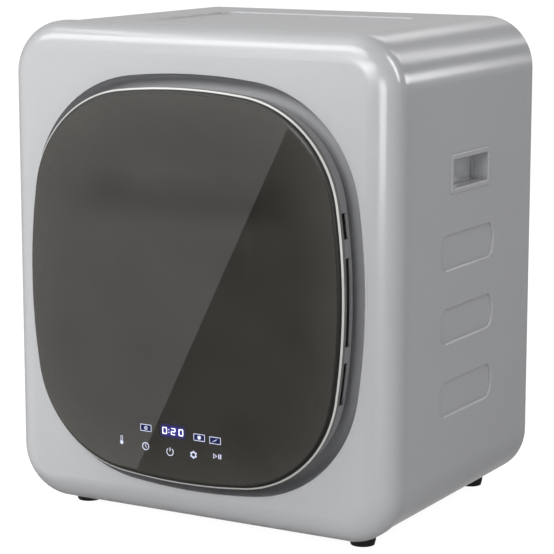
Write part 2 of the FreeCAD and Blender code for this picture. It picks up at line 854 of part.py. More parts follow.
def hinge_leaf():
    """Door half of the hinge: a knuckle, and a bent plate that reaches the shell's floor."""
    piece = body("hinge_leaf")
    low = z_door - leaf_half_length
    height = leaf_half_length * 2
    plate = d.moulding
    front = hinge_y - plate / 2
    leg = notch_x + d.moulding * 2
    outline = [
        (hinge_x, front),
        (leg, front),
        (leg, y_shell_floor),
        (leg - plate, y_shell_floor),
        (leg - plate, front + plate),
        (hinge_x, front + plate),
    ]
    pad_up(piece, low, height, ("polygon", outline))
    pad_up(piece, low, height, ("circle", hinge_x, hinge_y, d.knuckle_radius))
    cut_up(piece, low, height, ("circle", hinge_x, hinge_y, d.pin_radius + d.slip_gap))
    return piece


def hinge_bracket():
    """Case half of the hinge: a foot plate on the dish floor and two arms beside the leaf."""
    piece = body("hinge_bracket")
    low = z_door - d.hinge_half_length
    right = hinge_x + hinge_arm
    foot_plate = rectangle(hinge_x, y_floor - d.moulding, right, y_floor)
    pad_up(piece, low, d.hinge_half_length * 2, foot_plate)
    for start in (low, z_door + d.hinge_half_length - hinge_arm):
        arm = rectangle(hinge_x, hinge_y - d.knuckle_radius, right, y_floor)
        pad_up(piece, start, hinge_arm, arm)
        pad_up(piece, start, hinge_arm, ("circle", hinge_x, hinge_y, d.knuckle_radius))
        cut_up(piece, start, hinge_arm, ("circle", hinge_x, hinge_y, d.pin_radius + d.slip_gap))
    return piece


def hinge_pin():
    low = z_door - d.hinge_half_length - d.rim_width
    top = z_door + d.hinge_half_length
    head = d.pin_radius + d.rim_width / 2
    points = [
        (0, low),
        (d.pin_radius, low),
        (d.pin_radius, top),
        (head, top),
        (head, top + d.rim_width),
        (0, top + d.rim_width),
    ]
    return turned("hinge_pin", (hinge_x, hinge_y, 0), points, lay=False)


def catch_magnet():
    """Magnet on the dish floor that holds the door by its keeper plate."""
    piece = body("catch_magnet")
    front = y_shell_back + d.rim_width + d.fit_gap
    low = z_door - keeper_half_length
    high = z_door + keeper_half_length
    pad_back(piece, front, y_floor - front, rectangle(keeper_x, low, keeper_x + keeper_width, high))
    return piece


def door_switch():
    """Reed switch behind the dish floor, worked by the door's keeper."""
    piece = body("door_switch")
    low = z_door + keeper_half_length
    depth = d.seal_width
    outline = rectangle(keeper_x, low, keeper_x + keeper_width, low + keeper_half_length * 2)
    pad_back(piece, y_floor_back, depth, outline)
    soften(piece, "Chamfer", d.skin, lambda e: abs(e.BoundBox.YMin - float(y_floor_back + depth)) < 1e-4)
    return piece


# Drum, with everything that turns with it.

y_dome = y_drum_back - d.drum_dome
y_dome_front = y_dome - d.skin
hub_screw_radius = (d.shaft_radius + d.hub_radius) / 2
hub_plate = d.moulding * 2


def is_ring(edge, radius, height):
    """A full circle of a laid body, with a radius and a place along its axis."""
    box = edge.BoundBox
    return lies_at(box.ZMin, box.ZMax, height) and abs(box.XLength / 2 - float(radius)) < NEAR * 10


def drum_shell():
    """Drum cylinder with its front wall and the lip that runs on the felt."""
    lip = drum_lip_radius
    points = [
        (lip, y_drum - d.drum_lip),
        (lip + d.skin, y_drum - d.drum_lip),
        (lip + d.skin, y_drum),
        (drum_outer, y_drum),
        (drum_outer, y_drum_back),
        (d.drum_radius, y_drum_back),
        (d.drum_radius, y_drum + d.skin),
        (lip, y_drum + d.skin),
    ]
    piece = turned("drum_shell", (0, 0, z_door), points)
    soften(piece, "Fillet", d.drum_lip + d.skin, lambda e: is_ring(e, drum_outer, y_drum))
    soften(piece, "Fillet", d.drum_lip, lambda e: is_ring(e, d.drum_radius, y_drum + d.skin))
    return piece


def drum_back():
    """Pressed back wall with a raised middle and rings of air holes."""
    bore = d.shaft_radius + d.slip_gap
    edge = d.drum_radius - d.slip_gap
    front = y_drum_back - d.skin
    dome = d.drum_dome_radius
    points = [
        (bore, y_dome_front),
        (dome, y_dome_front),
        (dome + d.drum_dome, front),
        (edge, front),
        (edge, y_drum_back),
        (dome + d.drum_dome - d.skin / 2, y_drum_back),
        (dome - d.skin / 2, y_dome),
        (bore, y_dome),
    ]
    piece = turned("drum_back", (0, 0, z_door), points)
    first = dome + d.drum_dome * 2
    pitch = (edge - first - d.drum_dome) / DRUM_HOLE_RINGS
    column = [("circle", first + pitch * ring, 0, d.drum_hole_radius) for ring in range(DRUM_HOLE_RINGS)]
    holes = cut_up(piece, front, d.skin, *column)
    repeat_round(piece, [holes], DRUM_HOLES_PER_RING)
    screws = cut_up(piece, y_dome_front, d.skin, ("circle", hub_screw_radius, 0, screw_hole))
    repeat_round(piece, [screws], LIFTERS)
    return piece


def lifter(number):
    """Vane with a rounded crest, seated on the inside of the drum."""
    radius = float(d.drum_radius - d.slip_gap)
    crest = radius - d.lifter_height.value
    half = d.lifter_width.value / 2
    start = float(y_drum + d.drum_lip + d.skin * 2)
    length = float(y_drum_back - d.skin - d.drum_lip) - start
    flank = [(half, radius), (half, radius - half / 2), (half / 3, crest)]
    outline = flank + [(-x, z) for x, z in reversed(flank)]
    wire = Part.makePolygon([Vector(x, start, -z) for x, z in outline + outline[:1]])
    vane = Part.Face(wire).extrude(Vector(0, length, 0))
    long_edges = [e for e in vane.Edges if e.BoundBox.YLength > 1 and e.BoundBox.ZMin > half / 4 - radius]
    vane = vane.makeFillet(half / 4, long_edges)
    shape = vane.common(Part.makeCylinder(radius, length, Vector(0, start, 0), Vector(0, 1, 0)))
    piece = formed("lifter_%d" % number, shape)
    spin = Rotation(Vector(0, 1, 0), 360 * number / LIFTERS + 60)
    piece.Placement = Placement(Vector(0, 0, z_door.value), spin)
    return piece


def drum_hub():
    bore = d.shaft_radius + d.slip_gap
    boss = d.bearing_radius + d.rim_width
    points = [
        (bore, y_dome),
        (d.hub_radius, y_dome),
        (d.hub_radius, y_dome + hub_plate),
        (boss, y_dome + hub_plate),
        (boss, y_bulkhead - d.rim_width),
        (bore, y_bulkhead - d.rim_width),
    ]
    piece = turned("drum_hub", (0, 0, z_door), points)
    screws = cut_up(piece, y_dome, hub_plate, ("circle", hub_screw_radius, 0, screw_hole))
    repeat_round(piece, [screws], LIFTERS)
    return piece


def drum_shaft():
    end = y_bulkhead + d.skin + d.bearing_length + d.moulding
    bevel = d.skin
    r = d.shaft_radius
    points = [(0, y_dome_front), (r, y_dome_front), (r, end - bevel), (r - bevel, end), (0, end)]
    return turned("drum_shaft", (0, 0, z_door), points)


def hub_screws():
    heads = []
    for number in range(LIFTERS):
        angle = math.radians(360 * number / LIFTERS)
        reach = hub_screw_radius.value
        heads.append((reach * math.cos(angle), y_dome_front, float(z_door) - reach * math.sin(angle)))
    return screw_group("hub_screws", heads, Vector(0, 1, 0), d.skin + hub_plate)


# Walls and bearings that carry the drum.

def bearing():
    start = y_bulkhead + d.skin
    bore = d.shaft_radius + d.slip_gap
    points = [
        (bore, start),
        (d.bearing_radius, start),
        (d.bearing_radius, start + d.bearing_length),
        (bore, start + d.bearing_length),
    ]
    return turned("bearing", (0, 0, z_door), points)


def bearing_housing():
    start = y_bulkhead + d.skin
    bore = d.bearing_radius + d.slip_gap
    boss = d.bearing_radius + hub_plate
    points = [
        (bore, start),
        (d.hub_radius, start),
        (d.hub_radius, start + d.moulding),
        (boss, start + d.moulding),
        (boss, start + d.bearing_length),
        (bore, start + d.bearing_length),
    ]
    piece = turned("bearing_housing", (0, 0, z_door), points)
    web_length = d.hub_radius - boss
    half = d.moulding / 2
    outline = rectangle(boss - half, -half, boss + web_length * 0.8, half)
    web = pad_up(piece, start, d.bearing_length / 2, outline)
    repeat_round(piece, [web], LIFTERS * 2)
    return piece


duct_half = d.vent_radius + d.skin
tray_top = z_inside + d.skin
duct_low = tray_top + d.fit_gap
duct_height = d.cup_height
duct_top = duct_low + duct_height
heater_half = d.heater_width / 2
heater_low = d.heater_centre_height - d.heater_height / 2
heater_high = d.heater_centre_height + d.heater_height / 2


def rear_bulkhead():
    piece = body("rear_bulkhead")
    pad_back(piece, y_bulkhead, d.skin, inner_round(d.fit_gap))
    cut_back(piece, y_bulkhead, d.skin, ("circle", 0, z_door, d.shaft_radius + d.rim_width))
    gap = d.fit_gap
    notch = rectangle(-duct_half - gap, z_bottom, duct_half + gap, duct_top + gap)
    cut_back(piece, y_bulkhead, d.skin, notch)
    lip = d.flange_width
    hot_air = rectangle(lip - heater_half, heater_low + lip, heater_half - lip, heater_high - lip)
    cut_back(piece, y_bulkhead, d.skin, hot_air)
    return piece


y_filter = y_face + d.filter_setback
y_filter_back = y_filter + d.filter_thickness
filter_half = d.filter_width / 2
filter_low = duct_top + d.filter_floor_gap
y_duct = y_front_wall + d.skin + d.fit_gap
y_fan = y_duct + d.duct_depth
y_fan_back = y_drum - d.moulding


def front_bulkhead():
    """Front wall with the collar of the loading mouth and the slot for the lint filter."""
    piece = body("front_bulkhead")
    pad_back(piece, y_front_wall, d.skin, inner_round(d.fit_gap))
    collar_length = y_drum + d.moulding - y_floor_back
    pad_back(piece, y_floor_back, collar_length, ("circle", 0, z_door, collar_radius))
    cut_back(piece, y_floor_back, collar_length, ("circle", 0, z_door, mouth_radius))
    gap = d.fit_gap
    slot = rectangle(-filter_half - gap, y_filter - gap, filter_half + gap, y_filter_back + d.skin + gap)
    low = z_door - collar_radius - d.skin
    cut_up(piece, low, mouth_radius / 2, slot)
    return piece


def felt_ring():
    inner = collar_radius + d.slip_gap
    outer = collar_radius + d.felt_thickness
    start = y_drum - d.drum_lip
    points = [(inner, start), (outer, start), (outer, y_drum), (inner, y_drum)]
    return turned("felt_ring", (0, 0, z_door), points)


# Drive: motor, belt and fan.

y_belt = y_drum_back - d.belt_inset
y_motor = y_fan_back + d.moulding * 10
y_motor_back = y_motor + d.motor_length
motor_bore = d.motor_shaft_radius + d.slip_gap
motor_at = (d.motor_side, 0, d.motor_height)
fan_case_radius = d.motor_height - duct_low
fan_outlet_x = d.motor_side - fan_case_radius - d.duct_depth


def motor():
    r = d.motor_radius
    bell = d.duct_depth
    nose = d.bearing_radius
    points = [
        (motor_bore, y_motor - bell / 2),
        (nose, y_motor - bell / 2),
        (nose, y_motor),
        (r - bell, y_motor),
        (r, y_motor + bell),
        (r, y_motor_back - bell),
        (r - bell, y_motor_back),
        (nose, y_motor_back),
        (nose, y_motor_back + bell / 2),
        (motor_bore, y_motor_back + bell / 2),
    ]
    return turned("motor", motor_at, points)


def motor_bracket():
    """Saddle on the base tray: a narrow foot plate and two cradles that widen around the motor."""
    piece = body("motor_bracket")
    plate = d.moulding
    half_foot = d.motor_radius / 2
    half_top = d.motor_radius + plate
    shoulder = d.motor_height - half_foot * 1.5
    foot_left = d.motor_side - half_foot
    foot_right = d.motor_side + half_foot
    pad_back(piece, y_motor, d.motor_length, rectangle(foot_left, tray_top, foot_right, tray_top + plate))
    cradle = [
        (foot_left, tray_top),
        (foot_right, tray_top),
        (d.motor_side + half_top, shoulder),
        (d.motor_side + half_top, d.motor_height),
        (d.motor_side - half_top, d.motor_height),
        (d.motor_side - half_top, shoulder),
    ]
    for start in (y_motor + d.duct_depth, y_motor_back - d.duct_depth - plate):
        pad_back(piece, start, plate, ("polygon", cradle))
        seat = ("circle", d.motor_side, d.motor_height, d.motor_radius + d.slip_gap)
        cut_back(piece, start, plate, seat)
    return piece


def motor_shaft():
    start = y_fan + d.moulding * 2
    end = y_belt + d.belt_width
    r = d.motor_shaft_radius
    return turned("motor_shaft", motor_at, [(0, start), (r, start), (r, end), (0, end)])


def motor_pulley():
    half = d.belt_width / 2 + d.fit_gap
    cheek = half + d.rim_width
    r = d.pulley_radius
    brim = r + d.belt_thickness
    points = [
        (motor_bore, y_belt - cheek),
        (brim, y_belt - cheek),
        (brim, y_belt - half),
        (r, y_belt - half),
        (r, y_belt + half),
        (brim, y_belt + half),
        (brim, y_belt + cheek),
        (motor_bore, y_belt + cheek),
    ]
    return turned("motor_pulley", motor_at, points)


def belt_face(drum_reach, pulley_reach):
    """The outline of a belt round two circles: two arcs and the two straight runs."""
    y = float(y_belt - d.belt_width / 2)
    drum = Vector(0, y, float(z_door))
    pulley = Vector(float(d.motor_side), y, float(d.motor_height))
    apart = (pulley - drum).Length
    along = (pulley - drum).normalize()
    across = Vector(-along.z, 0, along.x)
    lean = math.acos((drum_reach - pulley_reach) / apart)
    ends = {}
    for side in (-1, 1):
        way = along * math.cos(lean) + across * (math.sin(lean) * side)
        ends[side] = (drum + way * drum_reach, pulley + way * pulley_reach)
    edges = [
        Part.Arc(ends[1][0], drum - along * drum_reach, ends[-1][0]).toShape(),
        Part.LineSegment(ends[-1][0], ends[-1][1]).toShape(),
        Part.Arc(ends[-1][1], pulley + along * pulley_reach, ends[1][1]).toShape(),
        Part.LineSegment(ends[1][1], ends[1][0]).toShape(),
    ]
    return Part.Face(Part.Wire(edges))


def drive_belt():
    inside = [float(reach + d.fit_gap) for reach in (drum_outer, d.pulley_radius)]
    outside = [reach + d.belt_thickness.value for reach in inside]
    loop = belt_face(*outside).cut(belt_face(*inside))
    return formed("drive_belt", loop.extrude(Vector(0, d.belt_width.value, 0)).Solids[0])


def fan_wheel():
    """Squirrel-cage wheel: hub, back plate, front ring and a row of leaning blades."""
    start = y_fan + d.duct_wall + d.moulding
    back = start + d.fan_width
    plate = d.rim_width
    hub = d.bearing_radius
    r = d.fan_radius
    ring = r - d.duct_depth
    points = [
        (motor_bore, back - d.duct_depth),
        (hub, back - d.duct_depth),
        (hub, back - plate),
        (r, back - plate),
        (r, back),
        (motor_bore, back),
    ]
    piece = turned("fan_wheel", motor_at, points)
    lean = d.moulding
    blade = [(ring, lean), (r - d.slip_gap, 0), (r - d.slip_gap, d.duct_wall), (ring, lean + d.duct_wall)]
    vane = pad_up(piece, start, d.fan_width - plate, ("polygon", blade))
    repeat_round(piece, [vane], FAN_BLADES)
    turn(piece, "Revolution", [(ring, start), (r, start), (r, start + plate), (ring, start + plate)])
    return piece


def fan_housing():
    piece = body("fan_housing")
    wall = d.duct_wall
    depth = y_fan_back - y_fan
    r = fan_case_radius
    high = duct_top
    centre = (d.motor_side, d.motor_height)
    pad_back(piece, y_fan, depth, ("circle", *centre, r))
    pad_back(piece, y_fan, depth, rectangle(fan_outlet_x, duct_low, d.motor_side, high))
    hollow = depth - wall * 2
    cut_back(piece, y_fan + wall, hollow, ("circle", *centre, r - wall))
    cut_back(piece, y_fan + wall, hollow, rectangle(fan_outlet_x, duct_low + wall, d.motor_side, high - wall))
    cut_back(piece, y_fan, wall, ("circle", *centre, d.fan_inlet))
    cut_back(piece, y_fan_back - wall, wall, ("circle", *centre, d.motor_shaft_radius + d.rim_width))
    return piece


# Air path: front duct, lint filter, exhaust duct and heater.

def front_duct():
    """Duct from the lint filter down and across to the fan's inlet."""
    piece = body("front_duct")
    wall = d.duct_wall
    arm = d.fan_inlet + wall * 3

    def across(inset):
        left = d.motor_side - arm + inset
        right = d.motor_side + arm - inset
        half = filter_half + wall * 2 - inset
        low = filter_low - wall * 2 + inset
        high = d.motor_height + arm - inset
        bottom = d.motor_height - arm + inset
        top = z_door - collar_radius * 0.85 - inset
        return [
            (-half, low),
            (left, low),
            (left, bottom),
            (right, bottom),
            (right, high),
            (half, high),
            (half, top),
            (-half, top),
        ]

    def down(inset):
        points = across(inset)
        return rectangle(points[0][0], points[0][1], points[6][0], points[6][1])

    deep = y_filter_back + d.duct_depth / 2 - y_duct
    pad_back(piece, y_duct, d.duct_depth, ("polygon", across(0)))
    pad_back(piece, y_duct, deep, down(0))
    cut_back(piece, y_duct + wall, d.duct_depth - wall * 2, ("polygon", across(wall)))
    cut_back(piece, y_duct + wall, deep - wall * 2, down(wall))
    cut_back(piece, y_duct, deep, ("circle", 0, z_door, collar_radius + d.slip_gap))
    inlet = ("circle", d.motor_side, d.motor_height, d.fan_inlet)
    cut_back(piece, y_duct + d.duct_depth - wall, wall, inlet)
    return piece


filter_window_top = z_door - mouth_radius - d.filter_border * 2.5


def filter_window(left, right):
    return rectangle(left, filter_low + d.filter_border, right, filter_window_top)


def lint_filter_frame():
    piece = body("lint_filter_frame")
    border = d.filter_border
    top = z_door - mouth_radius * 0.8
    pad_back(piece, y_filter, d.filter_thickness, rectangle(-filter_half, filter_low, filter_half, top))
    cut_back(piece, y_filter, d.filter_thickness, ("circle", 0, z_door, mouth_radius))
    rib = border / 4
    cut_back(piece, y_filter, d.filter_thickness, filter_window(border - filter_half, -rib))
    cut_back(piece, y_filter, d.filter_thickness, filter_window(rib, filter_half - border))
    finger = filter_window_top + border * 1.25
    cut_back(piece, y_filter, d.filter_thickness / 2, ("round", 0, finger, d.pad_height, border, border / 3))
    return piece


def lint_filter_mesh():
    piece = body("lint_filter_mesh")
    half = filter_half - d.filter_border / 2
    low = filter_low + d.filter_border / 2
    outline = rectangle(-half, low, half, filter_window_top + d.filter_border / 2)
    pad_back(piece, y_filter_back, d.skin / 2, outline)
    return piece


def exhaust_duct():
    """Duct under the drum from the fan to the collar in the rear panel."""
    piece = body("exhaust_duct")
    wall = d.duct_wall
    y_rise = y_bulkhead + d.skin + d.fit_gap
    y_stop = y_flange - d.fit_gap
    vent_top = d.vent_height + d.vent_radius + wall
    pad_up(piece, duct_low, duct_height, rectangle(-duct_half, y_fan, fan_outlet_x, y_fan_back))
    pad_up(piece, duct_low, duct_height, rectangle(-duct_half, y_fan, duct_half, y_stop))
    pad_up(piece, duct_low, vent_top - duct_low, rectangle(-duct_half, y_rise, duct_half, y_stop))
    low = duct_low + wall
    high = duct_height - wall * 2
    cut_up(piece, low, high, rectangle(wall - duct_half, y_fan + wall, fan_outlet_x, y_fan_back - wall))
    cut_up(piece, low, high, rectangle(wall - duct_half, y_fan + wall, duct_half - wall, y_stop - wall))
    riser = rectangle(wall - duct_half, y_rise + wall, duct_half - wall, y_stop - wall)
    cut_up(piece, low, vent_top - wall - low, riser)
    cut_back(piece, y_stop - wall, wall, ("circle", 0, d.vent_height, vent_opening))
    return piece


def heater_box():
    piece = body("heater_box")
    start = y_bulkhead + d.skin
    depth = y_panel - start
    wall = d.duct_wall
    pad_back(piece, start, depth, rectangle(-heater_half, heater_low, heater_half, heater_high))
    inside = rectangle(wall - heater_half, heater_low + wall, heater_half - wall, heater_high - wall)
    cut_back(piece, start, depth, inside)
    return piece


def heater_element():
    """Ceramic heating core with a row of air slots between its fins."""
    piece = body("heater_element")
    half = heater_half - d.duct_wall - d.slip_gap
    depth = d.duct_depth
    middle = (y_bulkhead + d.skin + y_panel) / 2
    rise = d.heater_height / 4
    low = d.heater_centre_height - rise
    high = d.heater_centre_height + rise
    pad_back(piece, middle - depth / 2, depth, rectangle(-half, low, half, high))
    pitch = half * 2 / (HEATER_FINS + 1)
    span = pitch * (HEATER_FINS - 1)
    gap = pitch / 4
    border = d.moulding
    first = rectangle(-span / 2 - gap, low + border, -span / 2 + gap, high - border)
    slot = cut_back(piece, middle - depth / 2, depth, first)
    repeat_line(piece, [slot], HEATER_FINS, span, "X_Axis")
    return piece


def thermostat():
    middle = (y_bulkhead + d.skin + y_panel) / 2
    r = d.bearing_radius / 2
    top = heater_high + d.drum_lip
    points = [(0, heater_high), (r, heater_high), (r, top - d.rim_width), (r - d.rim_width, top), (0, top)]
    return turned("thermostat", (heater_half / 2, middle, 0), points, lay=False)


# Control electronics under the roof.

carrier_top = z_roof - d.press_depth
carrier_y = y_seam + d.top_panel_setback
carrier_half = d.top_panel_width / 4
carrier_x = inner_corner + carrier_half - inner_half
board_top = carrier_top - d.shell_wall - d.drum_lip
board_inset = d.moulding * 2


def control_carrier():
    piece = body("control_carrier")
    stop = carrier_y + d.top_panel_length / 2
    plate = rectangle(carrier_x - carrier_half, carrier_y, carrier_x + carrier_half, stop)
    pad_up(piece, carrier_top - d.shell_wall, d.shell_wall, plate)
    posts = []
    reach = carrier_half - board_inset * 2
    for x in (carrier_x - reach, carrier_x + reach):
        for y in (carrier_y + board_inset * 2, stop - board_inset * 2):
            posts.append(("circle", x, y, d.moulding))
    pad_up(piece, board_top, d.drum_lip + d.shell_wall, *posts)
    return piece


def control_board():
    piece = body("control_board")
    stop = carrier_y + d.top_panel_length / 2
    low = board_top - d.board_thickness
    left = carrier_x + board_inset - carrier_half
    right = carrier_x + carrier_half - board_inset
    pad_up(piece, low, d.board_thickness, rectangle(left, carrier_y + board_inset, right, stop - board_inset))
    relay = d.flange_width
    for column in (-1, 1):
        x = carrier_x + relay * column
        y = carrier_y + d.top_panel_length / 4
        outline = rectangle(x - relay / 2, y - relay, x + relay / 2, y + relay)
        pad_up(piece, low - relay, relay, outline)
    return piece


# The whole dryer.

def build():
    pieces = [case_wrap(), front_frame(), rear_panel(), base_tray()]
    pieces += [handle_cup("handle_cup_left", -1), handle_cup("handle_cup_right", 1)]
    pieces += [foot(row, side) for row in foot_rows for side in foot_sides]
    foot_heads = [(x, y, d.foot_height / 2) for x, y in foot_places]
    pieces.append(screw_group("foot_screws", foot_heads, Vector(0, 0, 1), tray_top - d.foot_height / 2))
    rear_heads = [(x, y_back, z) for x, z in rear_screw_places]
    pieces.append(screw_group("rear_screws", rear_heads, Vector(0, -1, 0), d.skin * 2))
    pieces += [exhaust_collar(), cord_gland()]
    pieces += [door_glass(), door_rim(), door_shell(), door_bowl(), door_seal()]
    pieces += [display_module(), touch_board()]
    pieces += [keeper_plate(), hinge_leaf(), hinge_bracket(), hinge_pin(), catch_magnet(), door_switch()]
    pieces += [drum_shell(), drum_back(), drum_hub(), drum_shaft(), hub_screws()]
    pieces += [lifter(number + 1) for number in range(LIFTERS)]
    pieces += [bearing(), bearing_housing(), rear_bulkhead(), front_bulkhead(), felt_ring()]
    pieces += [motor(), motor_bracket(), motor_shaft(), motor_pulley(), drive_belt()]
    pieces += [fan_wheel(), fan_housing()]
    pieces += [front_duct(), lint_filter_frame(), lint_filter_mesh(), exhaust_duct()]
    pieces += [heater_box(), heater_element(), thermostat(), control_carrier(), control_board()]
    return pieces


def check(pieces):
    failed = [item.Label for item in doc.Objects if "Invalid" in item.State or "Error" in item.State]
    failed += [piece.Label for piece in pieces if piece.Shape.isNull() or not piece.Shape.isValid()]
    if failed:
        raise RuntimeError("these did not build: " + ", ".join(failed))


def write(pieces):
    os.makedirs("parts", exist_ok=True)
    for piece in pieces:
        piece.Shape.exportStep("parts/%s.step" % piece.Label)


PIECES = build()
doc.recompute()
check(PIECES)
write(PIECES)
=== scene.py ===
import json
import math

import bmesh
import bpy
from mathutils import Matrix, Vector

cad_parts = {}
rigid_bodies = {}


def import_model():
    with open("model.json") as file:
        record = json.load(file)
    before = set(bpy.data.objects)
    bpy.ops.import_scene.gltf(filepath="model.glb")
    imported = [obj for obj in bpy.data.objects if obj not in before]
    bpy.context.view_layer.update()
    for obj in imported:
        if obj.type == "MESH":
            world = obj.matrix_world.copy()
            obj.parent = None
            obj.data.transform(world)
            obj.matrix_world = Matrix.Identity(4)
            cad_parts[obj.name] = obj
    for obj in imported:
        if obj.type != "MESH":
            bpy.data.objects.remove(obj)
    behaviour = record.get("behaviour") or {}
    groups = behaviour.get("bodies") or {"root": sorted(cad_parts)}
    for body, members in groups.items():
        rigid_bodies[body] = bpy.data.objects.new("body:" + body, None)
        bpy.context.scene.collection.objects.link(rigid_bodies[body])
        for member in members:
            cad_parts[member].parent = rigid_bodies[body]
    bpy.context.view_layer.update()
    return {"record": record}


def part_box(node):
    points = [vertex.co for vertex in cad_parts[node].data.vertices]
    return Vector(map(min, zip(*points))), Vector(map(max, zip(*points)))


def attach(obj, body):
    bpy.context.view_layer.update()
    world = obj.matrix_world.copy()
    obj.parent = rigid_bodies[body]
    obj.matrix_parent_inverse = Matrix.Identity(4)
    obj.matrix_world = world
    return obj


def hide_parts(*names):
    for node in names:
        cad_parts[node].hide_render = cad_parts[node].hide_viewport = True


bl_info = {
    "name": "Compact dryer looks",
    "version": (1, 0, 0),
    "blender": (4, 5, 0),
    "location": "View3D > Sidebar > Dryer",
    "description": "Dresses a packed compact tumble dryer with finishes, a lit display, screws and a studio",
    "category": "Object",
}

for leftover in list(bpy.data.objects):
    bpy.data.objects.remove(leftover)

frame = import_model()
GLASS_LOW, GLASS_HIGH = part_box("door_glass")
GLASS_FRONT = GLASS_LOW.y
MM = 0.001


# Shader node helpers.

def feed(tree, socket, value):
    """Links a socket to another one, or sets it to a plain value."""
    if isinstance(value, bpy.types.NodeSocket):
        tree.links.new(value, socket)
    else:
        socket.default_value = value


def add_node(tree, kind, settings=None, inputs=None):
    """Adds a node, sets its options, and links or sets each named input."""
    made = tree.nodes.new(kind)
    for name, value in (settings or {}).items():
        setattr(made, name, value)
    for name, value in (inputs or {}).items():
        feed(tree, made.inputs[name], value)
    return made


def maths(tree, operation, first, second=0.5):
    return add_node(tree, "ShaderNodeMath", {"operation": operation}, {0: first, 1: second}).outputs[0]


def blend_colours(tree, factor, first, second):
    made = add_node(tree, "ShaderNodeMix", {"data_type": "RGBA"}, {0: factor, 6: first, 7: second})
    return made.outputs[2]


def blend_values(tree, factor, first, second):
    made = add_node(tree, "ShaderNodeMix", {"data_type": "FLOAT"}, {0: factor, 2: first, 3: second})
    return made.outputs[0]


def spread(tree, value, low, high, out_low=0.0, out_high=1.0):
    made = add_node(tree, "ShaderNodeMapRange", {"clamp": True}, {
        "Value": value, "From Min": low, "From Max": high, "To Min": out_low, "To Max": out_high})
    return made.outputs[0]


def noise(tree, place, scale, detail, **more):
    """The grey value of a noise texture."""
    inputs = {"Vector": place, "Scale": scale, "Detail": detail, **more}
    return add_node(tree, "ShaderNodeTexNoise", inputs=inputs).outputs[0]


def axes(tree, vector):
    return add_node(tree, "ShaderNodeSeparateXYZ", inputs={0: vector}).outputs


def object_place(tree):
    return tree.nodes.new("ShaderNodeTexCoord").outputs["Object"]


def raise_surface(tree, shader, height, distance, strength):
    """Bumps the shader's surface by a height pattern of so many metres."""
    raised = add_node(tree, "ShaderNodeBump", inputs={
        "Height": height, "Distance": distance, "Strength": strength})
    tree.links.new(raised.outputs[0], shader.inputs["Normal"])


def set_values(shader, values):
    for name, value in values.items():
        shader.inputs[name].default_value = value


def new_group(name, inputs, outputs):
    """An empty node group with its sockets, and its input and output nodes."""
    group = bpy.data.node_groups.new(name, "ShaderNodeTree")
    for label, kind, value in inputs:
        socket = group.interface.new_socket(label, in_out="INPUT", socket_type=kind)
        socket.default_value = value
    for label, kind in outputs:
        group.interface.new_socket(label, in_out="OUTPUT", socket_type=kind)
    return group, group.nodes.new("NodeGroupInput"), group.nodes.new("NodeGroupOutput")


# Surface patterns. Each puts out a tone and a height.

def new_pattern(name):
    """An empty pattern: the group, its scale, the place on the piece and the output node."""
    group, given, out = new_group(name, (("Scale", "NodeSocketFloat", 400.0),), (
        ("Tone", "NodeSocketFloat"), ("Height", "NodeSocketFloat")))
    return group, given.outputs["Scale"], object_place(group), out


def close_pattern(group, out, tone, height):
    group.links.new(tone, out.inputs["Tone"])
    group.links.new(height, out.inputs["Height"])
    return group


def flake_pattern():
    """Metal flakes in lacquer: small cells of differing lightness over a slow cloud, with orange peel."""
    group, scale, place, out = new_pattern("metal_flake")
    cells = add_node(group, "ShaderNodeTexVoronoi", inputs={"Vector": place, "Scale": scale})
    grey = add_node(group, "ShaderNodeRGBToBW", inputs={"Color": cells.outputs["Color"]}).outputs[0]
    cloud = noise(group, place, 6.0, 3.0)
    peel = noise(group, place, 320.0, 2.0)
    return close_pattern(group, out, blend_values(group, 0.6, grey, cloud), peel)


def streak_pattern():
    """Long fine scratches of brushed or turned metal, along the dryer's width."""
    group, scale, place, out = new_pattern("brushed_streak")
    drawn = add_node(group, "ShaderNodeMapping", inputs={"Vector": place, "Scale": (0.02, 1.0, 1.0)})
    fine = noise(group, drawn.outputs[0], scale, 4.0)
    broad = noise(group, place, 9.0, 3.0)
    return close_pattern(group, out, blend_values(group, 0.35, fine, broad), fine)


def spangle_pattern():
    """Crystal spangle of galvanised sheet."""
    group, scale, place, out = new_pattern("zinc_spangle")
    bent = add_node(group, "ShaderNodeTexNoise", inputs={"Vector": place, "Scale": 60.0, "Detail": 2.0})
    shift = add_node(group, "ShaderNodeVectorMath", {"operation": "MULTIPLY_ADD"}, {
        0: bent.outputs["Color"], 1: (0.008, 0.008, 0.008), 2: place})
    cells = add_node(group, "ShaderNodeTexVoronoi", inputs={"Vector": shift.outputs[0], "Scale": scale})
    grey = add_node(group, "ShaderNodeRGBToBW", inputs={"Color": cells.outputs["Color"]}).outputs[0]
    return close_pattern(group, out, grey, blend_values(group, 0.5, grey, bent.outputs[0]))


def moulded_pattern():
    """Fine spark-eroded grain of a moulding, with slow flow marks."""
    group, scale, place, out = new_pattern("moulded_grain")
    grain = noise(group, place, scale, 5.0, Roughness=0.65)
    flow = noise(group, place, 11.0, 2.0, Distortion=1.2)
    return close_pattern(group, out, blend_values(group, 0.5, grain, flow), grain)


def fibre_pattern():
    """Matted fibres of pressed felt."""
    group, scale, place, out = new_pattern("felt_fibre")
    layers = []
    for stretch in ((1.0, 0.12, 0.3), (0.2, 1.0, 0.15)):
        laid = add_node(group, "ShaderNodeMapping", inputs={"Vector": place, "Scale": stretch})
        layers.append(noise(group, laid.outputs[0], scale, 6.0, Distortion=0.6))
    tone = maths(group, "MAXIMUM", *layers)
    return close_pattern(group, out, tone, tone)


